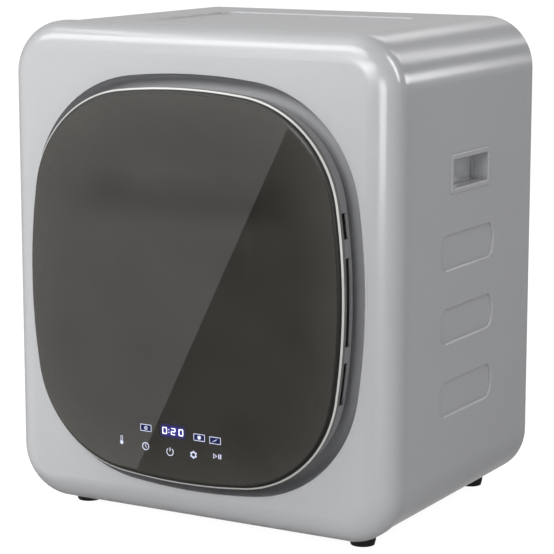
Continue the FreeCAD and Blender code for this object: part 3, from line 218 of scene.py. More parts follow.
def weave_pattern():
    """Crossing threads of a fine filter cloth."""
    group, scale, place, out = new_pattern("mesh_weave")
    threads = []
    for direction in ("X", "Z"):
        wave = add_node(group, "ShaderNodeTexWave", {"bands_direction": direction}, {
            "Vector": place, "Scale": scale, "Distortion": 0.3})
        threads.append(wave.outputs["Fac"])
    tone = maths(group, "MAXIMUM", *threads)
    return close_pattern(group, out, tone, tone)


def track_pattern():
    """Copper tracks under the mask of a circuit board."""
    group, scale, place, out = new_pattern("board_track")
    cells = add_node(group, "ShaderNodeTexVoronoi", {"distance": "MANHATTAN", "feature": "F1"}, {
        "Vector": place, "Scale": scale, "Randomness": 0.7})
    rings = maths(group, "SINE", maths(group, "MULTIPLY", cells.outputs["Distance"], 28.0))
    tone = spread(group, rings, 0.1, 0.4)
    return close_pattern(group, out, tone, tone)


# Layers which lay another colour over the given one: worn edges and dust of age, and painted shade in seams
# and corners. Then masks for the rim and the glass.

MIDDLE_GREY = (0.5, 0.5, 0.5, 1.0)
BLACK = (0.0, 0.0, 0.0, 1.0)
# Colour of the painted shade in seams and corners.
SHADE_COLOUR = (0.02, 0.02, 0.02, 1.0)


def lay_over(group, given, out, mask, over):
    """Lays a colour over the given one by a mask times the group's amount."""
    shown = maths(group, "MULTIPLY", mask, given.outputs["Amount"])
    group.links.new(blend_colours(group, shown, given.outputs["Colour"], over), out.inputs["Colour"])
    return shown


def wear_group():
    """Worn edges: where a rounded normal leaves the true one, broken up by noise."""
    group, given, out = new_group("edge_wear", (
        ("Colour", "NodeSocketColor", MIDDLE_GREY),
        ("Worn Colour", "NodeSocketColor", (0.8, 0.8, 0.8, 1.0)),
        ("Width", "NodeSocketFloat", 0.0003),
        ("Amount", "NodeSocketFloat", 0.5),
    ), (("Colour", "NodeSocketColor"),))
    soft = add_node(group, "ShaderNodeBevel", {"samples": 4}, {"Radius": given.outputs["Width"]})
    true = group.nodes.new("ShaderNodeNewGeometry")
    agree = add_node(group, "ShaderNodeVectorMath", {"operation": "DOT_PRODUCT"}, {
        0: soft.outputs[0], 1: true.outputs["Normal"]})
    edge = spread(group, agree.outputs["Value"], 0.975, 0.80)
    chips = noise(group, object_place(group), 180.0, 4.0)
    broken = maths(group, "MULTIPLY", edge, spread(group, chips, 0.40, 0.62))
    lay_over(group, given, out, broken, given.outputs["Worn Colour"])
    return group


def corner_shading_group():
    """Painted shade that gathers in seams and inner corners: an ambient occlusion mask, broken up by noise,
    darkens the colour.
    """
    group, given, out = new_group("shade_in_seams", (
        ("Colour", "NodeSocketColor", MIDDLE_GREY),
        ("Reach", "NodeSocketFloat", 0.005),
        ("Amount", "NodeSocketFloat", 0.5),
    ), (("Colour", "NodeSocketColor"),))
    sky = add_node(group, "ShaderNodeAmbientOcclusion", {"samples": 8}, {"Distance": given.outputs["Reach"]})
    closed = spread(group, sky.outputs["AO"], 0.95, 0.35)
    speckle = noise(group, object_place(group), 90.0, 3.0)
    uneven = maths(group, "MULTIPLY", closed, spread(group, speckle, 0.25, 0.6, 0.7, 1.0))
    lay_over(group, given, out, uneven, SHADE_COLOUR)
    return group


def dust_group():
    """Thin dust that settles on faces which look up. Its mask is put out as well, to dull them."""
    group, given, out = new_group("settled_dust", (
        ("Colour", "NodeSocketColor", MIDDLE_GREY),
        ("Dust Colour", "NodeSocketColor", (0.62, 0.61, 0.58, 1.0)),
        ("Amount", "NodeSocketFloat", 0.1),
    ), (("Colour", "NodeSocketColor"), ("Mask", "NodeSocketFloat")))
    facing = group.nodes.new("ShaderNodeNewGeometry")
    up = spread(group, axes(group, facing.outputs["Normal"])["Z"], 0.35, 1.0)
    cloud = noise(group, object_place(group), 24.0, 6.0, Roughness=0.7)
    lying = maths(group, "MULTIPLY", up, spread(group, cloud, 0.35, 0.75))
    shown = lay_over(group, given, out, lying, given.outputs["Dust Colour"])
    group.links.new(shown, out.inputs["Mask"])
    return group


def front_facing_group():
    """Mask of the faces that look out of the door's front, in the piece's own directions."""
    group, given, out = new_group("front_facing_mask", (
        ("Off", "NodeSocketFloat", -0.15),
        ("Full", "NodeSocketFloat", -0.45),
    ), (("Mask", "NodeSocketFloat"),))
    facing = axes(group, group.nodes.new("ShaderNodeTexCoord").outputs["Normal"])
    mask = spread(group, facing["Y"], given.outputs["Off"], given.outputs["Full"])
    group.links.new(mask, out.inputs["Mask"])
    return group


def haze_and_painted_light_group():
    """Tone of the smoked glass: a cloudy haze, with painted light laid over it: a painted lighter sheen at
    the border, a painted dark bar above the middle and a painted faint ring of the window rim behind the
    glass.
    """
    group, _, out = new_group("glass_haze_with_painted_light", (), (("Tone", "NodeSocketFloat"),))

    def sums(operation, first, second=0.5):
        return maths(group, operation, first, second)

    place = object_place(group)
    half = (GLASS_HIGH - GLASS_LOW) / 2
    middle = (GLASS_HIGH + GLASS_LOW) / 2
    cloud = noise(group, place, 11.0, 5.0)
    tone = spread(group, cloud, 0.3, 0.7, 0.40, 0.60)
    parts = axes(group, place)
    across = sums("SUBTRACT", parts["X"], middle.x)
    up = sums("SUBTRACT", parts["Z"], middle.z)
    far = sums("POWER", sums("ABSOLUTE", sums("DIVIDE", across, half.x)), 3.2)
    high = sums("POWER", sums("ABSOLUTE", sums("DIVIDE", up, half.z)), 3.2)
    # Painted lighter sheen along the glass's border.
    border = spread(group, sums("ADD", far, high), 0.35, 1.0)
    # Painted dark bar above the middle, bent a little by the cloud.
    bent = sums("ADD", up, sums("MULTIPLY", cloud, 0.03))
    from_bar = sums("ABSOLUTE", sums("SUBTRACT", bent, half.z * 0.53))
    bar_ends = spread(group, sums("ABSOLUTE", across), 0.165, 0.09)
    bar = sums("MULTIPLY", spread(group, from_bar, 0.032, 0.004), bar_ends)
    # Painted faint ring of the window rim behind the glass.
    raised = sums("SUBTRACT", up, half.z * 0.2)
    squares = sums("ADD", sums("MULTIPLY", across, across), sums("MULTIPLY", raised, raised))
    from_ring = sums("ABSOLUTE", sums("SUBTRACT", sums("SQRT", squares), 0.09))
    ring = spread(group, from_ring, 0.005, 0.001)
    tone = sums("ADD", tone, sums("MULTIPLY", border, 0.40))
    tone = sums("SUBTRACT", tone, sums("MULTIPLY", bar, 0.34))
    tone = sums("ADD", tone, sums("MULTIPLY", ring, 0.07))
    group.links.new(spread(group, tone, 0.0, 1.0), out.inputs["Tone"])
    return group


PATTERNS = {
    "flake": flake_pattern,
    "streak": streak_pattern,
    "spangle": spangle_pattern,
    "moulded": moulded_pattern,
    "fibre": fibre_pattern,
    "weave": weave_pattern,
    "track": track_pattern,
}
shared_groups = {}


def shared(tree, name, maker, inputs=None):
    """Places a node group in a tree. The group is made once and used by all."""
    if name not in shared_groups:
        shared_groups[name] = maker()
    return add_node(tree, "ShaderNodeGroup", {"node_tree": shared_groups[name]}, inputs)


def opaque(colour):
    return (*colour[:3], 1.0)


def shade_of(colour, factor, lightest=1.0):
    """A colour made darker or lighter by a factor, each part up to a limit."""
    return opaque([min(lightest, part * factor) for part in colour])


def fresh_material(name):
    made = bpy.data.materials.new(name)
    made.use_nodes = True
    tree = made.node_tree
    shader = [item for item in tree.nodes if item.type == "BSDF_PRINCIPLED"][0]
    return made, tree, shader


# Each finish: pattern, pattern scale, tone swing, roughness, roughness swing, bump height in metres,
# edge wear amount, edge wear lightness, dust amount, and the values set on the shader itself.
FINISHES = {
    "silver_sheet": ("flake", 900.0, 0.05, 0.25, 0.015, 0.00002, 0.25, 1.25, 0.015,
                     {"Metallic": 0.22, "Coat Weight": 0.25, "Coat Roughness": 0.16}),
    "silver_moulding": ("flake", 900.0, 0.05, 0.23, 0.05, 0.00002, 0.20, 1.25, 0.015,
                        {"Metallic": 0.22, "Coat Weight": 0.35, "Coat Roughness": 0.16}),
    "grey_moulding": ("moulded", 700.0, 0.14, 0.46, 0.12, 0.00005, 0.30, 1.5, 0.06, {}),
    "rim_silver": ("streak", 500.0, 0.06, 0.30, 0.08, 0.00001, 0.20, 1.1, 0.0, {"Metallic": 0.45}),
    "black_rubber": ("moulded", 500.0, 0.25, 0.72, 0.15, 0.00008, 0.40, 2.6, 0.12, {}),
    "stainless": ("streak", 420.0, 0.14, 0.36, 0.12, 0.00002, 0.30, 1.2, 0.0, {"Metallic": 1.0}),
    "zinc_steel": ("spangle", 190.0, 0.09, 0.42, 0.12, 0.00003, 0.35, 1.25, 0.08, {"Metallic": 0.85}),
    "steel_part": ("streak", 520.0, 0.18, 0.30, 0.16, 0.00002, 0.45, 1.35, 0.0, {"Metallic": 1.0}),
    "black_moulding": ("moulded", 650.0, 0.22, 0.52, 0.16, 0.00006, 0.40, 2.4, 0.08, {}),
    "white_moulding": ("moulded", 600.0, 0.06, 0.44, 0.10, 0.00004, 0.30, 0.86, 0.06, {}),
    "felt": ("fibre", 240.0, 0.35, 0.95, 0.08, 0.00035, 0.25, 1.2, 0.0, {"Sheen Weight": 0.4}),
    "circuit_board": ("track", 60.0, 0.35, 0.34, 0.12, 0.00004, 0.30, 1.8, 0.0, {}),
    "motor_steel": ("moulded", 420.0, 0.20, 0.40, 0.14, 0.00005, 0.50, 2.6, 0.10, {"Metallic": 0.25}),
    "aluminium_fins": ("streak", 380.0, 0.14, 0.36, 0.12, 0.00002, 0.30, 1.15, 0.0, {"Metallic": 1.0}),
    "filter_mesh": ("weave", 260.0, 0.55, 0.70, 0.15, 0.00020, 0.25, 1.4, 0.10, {}),
}

# Painted shade in the corners of most slots, and of those that get less of it.
COMMON_CORNER_SHADE = 0.6
FAINT_SHADE_SLOTS = {"silver_sheet": 0.12, "silver_moulding": 0.45, "rim_silver": 0.2}
# The lightest that a worn edge or the glass's tone with painted light may get.
LIGHTEST = 0.95
# Painted shade on the rim: the share of its colour that it keeps where it faces away from the front.
FLANK_SHADE_SHARE = 0.28
# How much rougher full dust makes a face.
DUST_DULLING = 0.5


def finish_material(slot, colour):
    """A procedural finish of one slot: patterned colour, worn edges, painted shade in seams and corners,
    dust, roughness and bump. The rim also gets painted shade where it faces away from the front.
    """
    pattern, scale, swing, rough, rough_swing, bump, wear, lightness, dust, plain = FINISHES[slot]
    made, tree, shader = fresh_material(slot + "_finish")
    surface = shared(tree, pattern, PATTERNS[pattern], {"Scale": scale})
    tone = surface.outputs["Tone"]
    body_colour = blend_colours(tree, tone, shade_of(colour, 1 - swing), shade_of(colour, 1 + swing))
    # Painted shade: the rim's colour is darkened where it faces away from the door's front, with no change of
    # roughness.
    if slot == "rim_silver":
        facing_front_mask = shared(tree, "faces_front", front_facing_group)
        shaded_flank = shade_of(colour, FLANK_SHADE_SHARE)
        body_colour = blend_colours(tree, facing_front_mask.outputs["Mask"], shaded_flank, body_colour)
    worn = shared(tree, "wear", wear_group, {
        "Colour": body_colour, "Worn Colour": shade_of(colour, lightness, LIGHTEST), "Amount": wear})
    # Painted shade in seams and corners, from an ambient occlusion mask.
    shaded_corners = shared(tree, "painted_shade", corner_shading_group, {
        "Colour": worn.outputs["Colour"], "Amount": FAINT_SHADE_SLOTS.get(slot, COMMON_CORNER_SHADE)})
    dusty = shared(tree, "dust", dust_group, {"Colour": shaded_corners.outputs["Colour"], "Amount": dust})
    tree.links.new(dusty.outputs["Colour"], shader.inputs["Base Color"])
    roughness = spread(tree, tone, 0.2, 0.8, rough - rough_swing / 2, rough + rough_swing / 2)
    dulling = maths(tree, "MULTIPLY", dusty.outputs["Mask"], DUST_DULLING)
    tree.links.new(maths(tree, "ADD", roughness, dulling), shader.inputs["Roughness"])
    raise_surface(tree, shader, surface.outputs["Height"], bump, 1.0)
    set_values(shader, plain)
    return made


def glass_material(name, colour, transmission, roughness):
    """Tinted glass with faint wiping marks in its gloss, a dark ground edge, and painted light in its tint: a
    lighter border, a dark bar and a faint ring.
    """
    made, tree, shader = fresh_material(name + "_finish")
    place = object_place(tree)
    wiped = add_node(tree, "ShaderNodeMapping", inputs={
        "Vector": place, "Rotation": (0.0, 0.5, 0.0), "Scale": (3.0, 3.0, 14.0)})
    marks = noise(tree, wiped.outputs[0], 2.0, 5.0)
    # Tone of the glass: cloudy haze with painted light over it.
    glass_tone_and_light = shared(tree, "glass_tone_and_light", haze_and_painted_light_group)
    facing_front_mask = shared(tree, "faces_front", front_facing_group, {"Off": -0.90, "Full": -0.99}).outputs["Mask"]
    tone = maths(tree, "MULTIPLY", glass_tone_and_light.outputs["Tone"], facing_front_mask)
    tint = blend_colours(tree, tone, shade_of(colour, 0.35), shade_of(colour, 1.65, LIGHTEST))
    worn = shared(tree, "wear", wear_group, {
        "Colour": tint, "Worn Colour": shade_of(colour, 2.0, 0.9), "Amount": 0.1})
    tree.links.new(worn.outputs["Colour"], shader.inputs["Base Color"])
    gloss = spread(tree, marks, 0.3, 0.8, roughness, roughness * 2.5)
    tree.links.new(blend_values(tree, facing_front_mask, 0.4, gloss), shader.inputs["Roughness"])
    raise_surface(tree, shader, noise(tree, place, 5.0, 1.0), 0.00002, 0.3)
    set_values(shader, {"Transmission Weight": transmission, "IOR": 1.5})
    return made


def lamp_material(name, colour, strength):
    """A lit legend: its light varies a little over each mark, as a diffuser does."""
    made, tree, shader = fresh_material(name)
    cloud = noise(tree, object_place(tree), 420.0, 3.0)
    worn = shared(tree, "wear", wear_group, {
        "Colour": blend_colours(tree, cloud, shade_of(colour, 0.86), opaque(colour)),
        "Worn Colour": shade_of(colour, 0.7), "Width": 0.00005, "Amount": 0.2})
    for socket in ("Emission Color", "Base Color"):
        tree.links.new(worn.outputs["Colour"], shader.inputs[socket])
    tree.links.new(spread(tree, cloud, 0.3, 0.7, 0.35, 0.5), shader.inputs["Roughness"])
    raise_surface(tree, shader, cloud, 0.00002, 0.5)
    set_values(shader, {"Emission Strength": strength, "Specular IOR Level": 0.05})
    return made


# What a user may change.

def colour_property(name, words, default):
    return bpy.props.FloatVectorProperty(
        name=name, description=words, subtype="COLOR", size=3, min=0.0, max=1.0, default=default)


def length_property(name, words, default):
    return bpy.props.FloatProperty(
        name=name, description=words, default=default, min=0.0, subtype="DISTANCE", unit="LENGTH",
        precision=5)


def power_property(name, words, default):
    return bpy.props.FloatProperty(name=name, description=words, default=default, min=0.0, unit="POWER")


class DryerFinishes(bpy.types.PropertyGroup):
    """Colours of the finishes."""

    silver: colour_property("Silver", "Silver lacquer of the case and front", (0.42, 0.424, 0.435))
    door_grey: colour_property("Door grey", "Moulding behind the door's rim", (0.30, 0.30, 0.31))
    rim: colour_property("Rim", "Bright ring around the glass", (0.66, 0.66, 0.64))
    glass: colour_property("Glass", "Smoked door glass", (0.036, 0.034, 0.030))
    rubber: colour_property("Rubber", "Feet, seal and belt", (0.018, 0.018, 0.018))


class DryerDisplay(bpy.types.PropertyGroup):
    """Sizes and colours of the lit marks on the glass."""

    stroke: length_property("Stroke", "Line width of the touch marks", 0.85 * MM)
    key_size: length_property("Key size", "Height of a touch mark", 9.4 * MM)
    digit_height: length_property("Digit height", "Height of the time digits", 7.9 * MM)
    digit_stroke: length_property("Digit stroke", "Width of a digit's bars", 1.05 * MM)
    frame_width: length_property("Frame width", "Width of a programme frame", 14.6 * MM)
    frame_height: length_property("Frame height", "Height of a programme frame", 8.0 * MM)
    thickness: length_property("Thickness", "Thickness of the lit marks", 0.2 * MM)
    light: colour_property("Light", "Colour of the lit marks", (0.47, 0.49, 0.62))
    digits: colour_property("Digits", "Colour of the time digits", (0.80, 0.82, 1.0))
    glow: colour_property("Glow", "Colour of the glow around the digits", (0.08, 0.07, 0.62))


class DryerStudio(bpy.types.PropertyGroup):
    """Light levels and camera of the studio."""

    key_power: power_property("Key power", "Power of the large front light", 54.0)
    strip_power: power_property("Strip power", "Power of the long strip overhead", 7.5)
    edge_power: power_property("Edge power", "Power of the soft box at the right", 4.1)
    brow_power: power_property("Brow power", "Power of the strip for the front's upper edge", 7.0)
    crown_power: power_property("Crown power", "Power of the thin strip above the front's upper edge", 0.7)
    corner_power: power_property("Corner power", "Power of the strip for the front's upper corner", 3.5)
    rear_power: power_property("Rear power", "Power of the low strip behind the right side", 2.2)
    fill_power: power_property("Fill power", "Power of the fill for the right side", 9.4)
    back_power: power_property("Back power", "Power of the strips behind", 2.1)
    ambient: bpy.props.FloatProperty(
        name="Ambient", description="Even light from all round", default=0.52, min=0.0, max=2.0)
    dim_side: bpy.props.FloatProperty(
        name="Dim side", description="Level that mirrors see to the right and behind", default=0.15,
        min=0.0, max=1.0)
    floor_tone: colour_property("Floor", "Colour of the floor", (0.86, 0.86, 0.86))
    lens: bpy.props.FloatProperty(
        name="Lens", description="Focal length in millimetres", default=142.106, min=20.0, subtype="NONE")


# Modelling helpers. Marks are drawn flat in X and Y, and then stood up on the glass.

def made_piece():
    """The piece that the last modelling step made or worked on."""
    return bpy.context.view_layer.objects.active


def begin():
    active = made_piece()
    if active is not None and active.mode != "OBJECT":
        bpy.ops.object.mode_set(mode="OBJECT")
    bpy.ops.object.select_all(action="DESELECT")


def take(piece):
    """Makes a piece the only one selected, and the active one."""
    begin()
    piece.select_set(True)
    bpy.context.view_layer.objects.active = piece


def edit(piece):
    take(piece)
    bpy.ops.object.mode_set(mode="EDIT")
    bpy.ops.mesh.select_mode(type="VERT")
    bpy.ops.mesh.select_all(action="SELECT")


def leave_edit(piece):
    bpy.ops.object.mode_set(mode="OBJECT")
    return piece


def choose_faces(piece, wanted):
    """Selects the faces of the edited piece whose middle passes a test."""
    bpy.ops.mesh.select_mode(type="FACE")
    bpy.ops.mesh.select_all(action="DESELECT")
    shape = bmesh.from_edit_mesh(piece.data)
    for item in shape.faces:
        item.select = wanted(item.calc_center_median())
    shape.select_flush_mode()
    bmesh.update_edit_mesh(piece.data)


def settle(piece):
    """Puts a piece's place, turn and scale into its mesh."""
    take(piece)
    bpy.ops.object.transform_apply(location=True, rotation=True, scale=True)
    return piece


def flat_disc(radius, x, y, sides=40, turn=0.0):
    begin()
    bpy.ops.mesh.primitive_circle_add(
        vertices=sides, radius=radius, fill_type="NGON", location=(x, y, 0), rotation=(0, 0, turn))
    return settle(made_piece())


def flat_bar(width, height, x, y, rounding, turn=0.0):
    begin()
    bpy.ops.mesh.primitive_plane_add(size=1.0, location=(x, y, 0), rotation=(0, 0, turn))
    piece = made_piece()
    piece.scale = (width, height, 1.0)
    edit(settle(piece))
    bpy.ops.mesh.bevel(offset=rounding, offset_type="OFFSET", segments=4, affect="VERTICES")
    return leave_edit(piece)


def block(wide, deep, high):
    begin()
    bpy.ops.mesh.primitive_cube_add(size=1.0)
    piece = made_piece()
    piece.scale = (wide, deep, high)
    return settle(piece)


def hollow(piece, stroke):
    """Leaves only a border of a flat piece."""
    edit(piece)
    bpy.ops.mesh.inset(thickness=stroke, depth=0.0, use_even_offset=True)
    bpy.ops.mesh.delete(type="FACE")
    return leave_edit(piece)


def remove_faces(piece, wanted):
    edit(piece)
    choose_faces(piece, wanted)
    bpy.ops.mesh.delete(type="FACE")
    return leave_edit(piece)


def one_piece(name, parts):
    take(parts[0])
    for part in parts[1:]:
        part.select_set(True)
    if len(parts) > 1:
        bpy.ops.object.join()
    piece = made_piece()
    piece.name = name
    piece.data.name = name
    return piece


def stand_on_glass(piece, thickness, sink=0.05 * MM):
    """Thickens a flat mark and stands it on the front of the glass, its X and Y becoming X and Z."""
    edit(piece)
    bpy.ops.mesh.extrude_region_move(TRANSFORM_OT_translate={"value": (0.0, 0.0, thickness)})
    bpy.ops.mesh.select_all(action="SELECT")
    bpy.ops.mesh.normals_make_consistent(inside=False)
    leave_edit(piece)
    piece.rotation_euler = (math.pi / 2, 0.0, 0.0)
    piece.location = (0.0, GLASS_FRONT + sink, 0.0)
    return settle(piece)


def wear_material(piece, made):
    piece.data.materials.clear()
    piece.data.materials.append(made)


def carried(piece, body, made):
    wear_material(piece, made)
    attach(piece, body)


def lit_material(name, colour, strength):
    known = bpy.data.materials.get(name)
    return known or lamp_material(name, colour, strength)


# Middles of the marks on the glass, across and up, in metres.
KEY_ROW = {
    "thermometer": (-78.3 * MM, 105.2 * MM),
    "clock": (-46.1 * MM, 101.5 * MM),
    "power": (-13.8 * MM, 99.2 * MM),
    "flower": (17.1 * MM, 99.9 * MM),
    "play": (47.5 * MM, 102.0 * MM),
}
PROGRAMME_FRAMES = {
    "airing": (-45.6 * MM, 122.8 * MM),
    "drying": (24.6 * MM, 120.4 * MM),
    "cooling": (45.2 * MM, 119.6 * MM),
}
DIGIT_PLACES = ((-20.6 * MM, "0"), (-9.4 * MM, "2"), (0.8 * MM, "0"))
DIGITS_LEVEL = 122.9 * MM
COLON_X = -15.0 * MM
SEGMENTS = {"0": "abcdef", "2": "abged"}
TOUCH_STRENGTH = 0.62
FIELD_BLUE = (0.006, 0.008, 0.045)
FIELD_STRENGTH = 0.5


class DRYER_OT_finishes(bpy.types.Operator):
    """Gives every piece of the dryer its procedural finish"""

    bl_idname = "dryer.finishes"
    bl_label = "Finishes"

    def execute(self, context):
        tints = context.scene.dryer_finishes
        chosen = {
            "silver_sheet": tints.silver,
            "silver_moulding": tints.silver,
            "grey_moulding": tints.door_grey,
            "rim_silver": tints.rim,
            "black_rubber": tints.rubber,
        }
        made = {}
        for entry in frame["record"]["materials"]:
            slot = entry["slot"]
            colour = tuple(chosen.get(slot, entry["base_color"][:3]))
            if slot == "smoked_glass":
                made[slot] = glass_material(slot, tuple(tints.glass), 0.25, 0.004)
            elif slot == "clear_bowl":
                made[slot] = glass_material(slot, colour, 0.85, 0.05)
            else:
                made[slot] = finish_material(slot, colour)
        for entry in frame["record"]["subparts"]:
            piece = bpy.data.objects[entry["node"]]
            for place in piece.material_slots:
                place.material = made[entry["material_slot"]]
        return {"FINISHED"}


class DRYER_OT_touch_keys(bpy.types.Operator):
    """Models the row of five touch marks on the glass"""

    bl_idname = "dryer.touch_keys"
    bl_label = "Touch keys"

    def execute(self, context):
        sizes = context.scene.dryer_display
        makers = (self.thermometer, self.clock, self.power, self.flower, self.play)
        light = lit_material("touch_light", tuple(sizes.light), TOUCH_STRENGTH)
        for maker, (name, (x, z)) in zip(makers, KEY_ROW.items()):
            piece = one_piece("touch_" + name, maker(sizes.key_size, sizes.stroke, x, z))
            stand_on_glass(piece, sizes.thickness)
            carried(piece, "door", light)
        return {"FINISHED"}

    def thermometer(self, size, stroke, x, z):
        stem = flat_bar(size * 0.30, size * 0.78, x, z + size * 0.12, size * 0.14)
        bulb = flat_disc(size * 0.23, x, z - size * 0.34, 28)
        return [hollow(stem, stroke * 0.7), bulb]

    def clock(self, size, stroke, x, z):
        ring = hollow(flat_disc(size * 0.48, x, z), stroke)
        long_hand = flat_bar(stroke * 0.8, size * 0.34, x, z + size * 0.13, stroke * 0.3)
        hand_x = x + size * 0.08
        hand_z = z - size * 0.06
        short_hand = flat_bar(stroke * 0.8, size * 0.24, hand_x, hand_z, stroke * 0.3, math.radians(50))
        return [ring, long_hand, short_hand]

    def power(self, size, stroke, x, z):
        ring = hollow(flat_disc(size * 0.50, x, z), stroke)
        remove_faces(ring, lambda at: at.y > z and abs(at.x - x) < size * 0.26)
        bar = flat_bar(stroke, size * 0.48, x, z + size * 0.30, stroke * 0.35)
        return [ring, bar]

    def flower(self, size, stroke, x, z):
        petals = []
        for step in range(6):
            angle = math.radians(30 + 60 * step)
            petal_x = x + math.cos(angle) * size * 0.37
            petal_z = z + math.sin(angle) * size * 0.37
            petals.append(flat_disc(size * 0.12, petal_x, petal_z, 20))
        ring = hollow(flat_disc(size * 0.38, x, z), size * 0.15)
        return petals + [ring]

    def play(self, size, stroke, x, z):
        arrow = hollow(flat_disc(size * 0.36, x - size * 0.32, z, 3, -math.pi / 2), stroke * 0.7)
        bars = []
        for step in (0.26, 0.52):
            bars.append(flat_bar(size * 0.13, size * 0.58, x + size * step, z, size * 0.04))
        return [arrow] + bars


class DRYER_OT_programme_marks(bpy.types.Operator):
    """Models the three framed programme marks above the touch keys"""

    bl_idname = "dryer.programme_marks"
    bl_label = "Programme marks"

    def execute(self, context):
        sizes = context.scene.dryer_display
        light = lit_material("touch_light", tuple(sizes.light), TOUCH_STRENGTH)
        shape = (sizes.frame_width, sizes.frame_height)
        for name, (x, z) in PROGRAMME_FRAMES.items():
            border = flat_bar(*shape, x, z, sizes.stroke * 0.6)
            parts = [hollow(border, sizes.stroke * 0.75)]
            parts += self.motif(name, sizes.frame_height, sizes.stroke, x, z)
            piece = one_piece("programme_" + name, parts)
            stand_on_glass(piece, sizes.thickness)
            carried(piece, "door", light)
            field = flat_bar(*shape, x, z, sizes.stroke * 0.6)
            field.name = "programme_field_" + name
            stand_on_glass(field, sizes.thickness * 0.5)
            carried(field, "door", lit_material("field_light", FIELD_BLUE, FIELD_STRENGTH))
        return {"FINISHED"}

    def motif(self, name, high, stroke, x, z):
        if name == "airing":
            drum = hollow(flat_disc(high * 0.28, x, z - high * 0.03, 28), stroke * 0.7)
            return [drum, flat_disc(high * 0.10, x, z - high * 0.03, 16)]
        if name == "drying":
            return [flat_disc(high * 0.28, x, z, 28)]
        waves = []
        for step in (-0.22, 0.06):
            wave_x = x + high * step
            wave_z = z + high * step * 0.5
            waves.append(flat_bar(high * 0.55, stroke * 0.7, wave_x, wave_z, stroke * 0.3, math.radians(35)))
        return waves


class DRYER_OT_time_digits(bpy.types.Operator):
    """Models the lit time and the glow around it"""

    bl_idname = "dryer.time_digits"
    bl_label = "Time digits"

    def execute(self, context):
        sizes = context.scene.dryer_display
        parts = []
        for x, figure in DIGIT_PLACES:
            parts += self.figure(sizes.digit_height, sizes.digit_stroke, x, SEGMENTS[figure])
        for side in (-1, 1):
            level = DIGITS_LEVEL + side * sizes.digit_height * 0.19
            parts.append(flat_disc(sizes.digit_stroke * 0.5, COLON_X, level, 20))
        piece = one_piece("time_digits", parts)
        stand_on_glass(piece, sizes.thickness)
        carried(piece, "door", lit_material("digit_light", tuple(sizes.digits), 1.0))
        self.glow(sizes)
        return {"FINISHED"}

    def glow(self, sizes):
        """A thin film in front of the glass that carries the soft light around the digits."""
        tall = sizes.digit_height
        reach = tall * 0.9
        first = DIGIT_PLACES[0][0]
        last = DIGIT_PLACES[-1][0]
        wide = last - first + tall * 0.6
        middle = (last + first) / 2
        film = flat_bar(wide + reach * 2, tall + reach * 2, middle, DIGITS_LEVEL, reach * 0.8)
        film.name = "digit_glow"
        stand_on_glass(film, sizes.thickness * 0.4)
        made, tree, shader = fresh_material("digit_glow_film")
        place = object_place(tree)
        parts = axes(tree, place)
        gaps = []
        for axis, centre, half in (("X", middle, wide / 2), ("Z", DIGITS_LEVEL, tall / 2)):
            off = maths(tree, "ABSOLUTE", maths(tree, "SUBTRACT", parts[axis], centre))
            gap = maths(tree, "MAXIMUM", maths(tree, "SUBTRACT", off, half), 0.0)
            gaps.append(maths(tree, "MULTIPLY", gap, gap))
        away = maths(tree, "SQRT", maths(tree, "ADD", *gaps))
        near = spread(tree, away, 0.0, reach * 0.85, 1.0, 0.0)
        faded = maths(tree, "POWER", near, 2.2)
        tree.links.new(maths(tree, "MULTIPLY", faded, 0.40), shader.inputs["Alpha"])
        cloud = noise(tree, place, 300.0, 2.0)
        shade = blend_colours(tree, cloud, shade_of(sizes.glow, 0.85), opaque(sizes.glow))
        tree.links.new(shade, shader.inputs["Emission Color"])
        tree.links.new(spread(tree, cloud, 0.3, 0.7, 0.4, 0.6), shader.inputs["Roughness"])
        raise_surface(tree, shader, cloud, 0.00001, 0.5)
        set_values(shader, {"Base Color": BLACK, "Emission Strength": 1.0, "Specular IOR Level": 0.0})
        carried(film, "door", made)

    def figure(self, tall, stroke, x, lit):
        """One digit out of seven possible bars."""
        side = tall * 0.31
        inner = tall / 2 - stroke / 2
        places = {
            "a": (0.0, inner, 0.0),
            "b": (side, inner / 2, 90.0),
            "c": (side, -inner / 2, 90.0),
            "d": (0.0, -inner, 0.0),
            "e": (-side, -inner / 2, 90.0),
            "f": (-side, inner / 2, 90.0),
            "g": (0.0, 0.0, 0.0),
        }
        bars = []
        for letter in lit:
            across, up, turn = places[letter]
            length = (side * 2 if turn == 0.0 else inner) + stroke * 0.1
            level = DIGITS_LEVEL + up
            bars.append(flat_bar(length, stroke, x + across, level, stroke * 0.42, math.radians(turn)))
        return bars


def loose_boxes(node):
    """The boxes of a node's separate solids."""
    begin()
    copy = bpy.data.objects[node].copy()
    copy.data = copy.data.copy()
    bpy.context.scene.collection.objects.link(copy)
    edit(copy)
    bpy.ops.mesh.remove_doubles(threshold=0.01 * MM)
    bpy.ops.mesh.separate(type="LOOSE")
    bpy.ops.object.mode_set(mode="OBJECT")
    boxes = []
    for part in list(bpy.context.selected_objects):
        corners = [Vector(corner) for corner in part.bound_box]
        low = Vector([min(corner[axis] for corner in corners) for axis in range(3)])
        high = Vector([max(corner[axis] for corner in corners) for axis in range(3)])
        boxes.append((low, high))
        bpy.data.objects.remove(part)
    return boxes


# Each group of screws: the CAD node, the axis that they lie along, the way the heads face and the body.
SCREW_GROUPS = (
    ("rear_screws", 1, 1, "case"),
    ("foot_screws", 2, -1, "case"),
    ("hub_screws", 1, -1, "drum"),
)


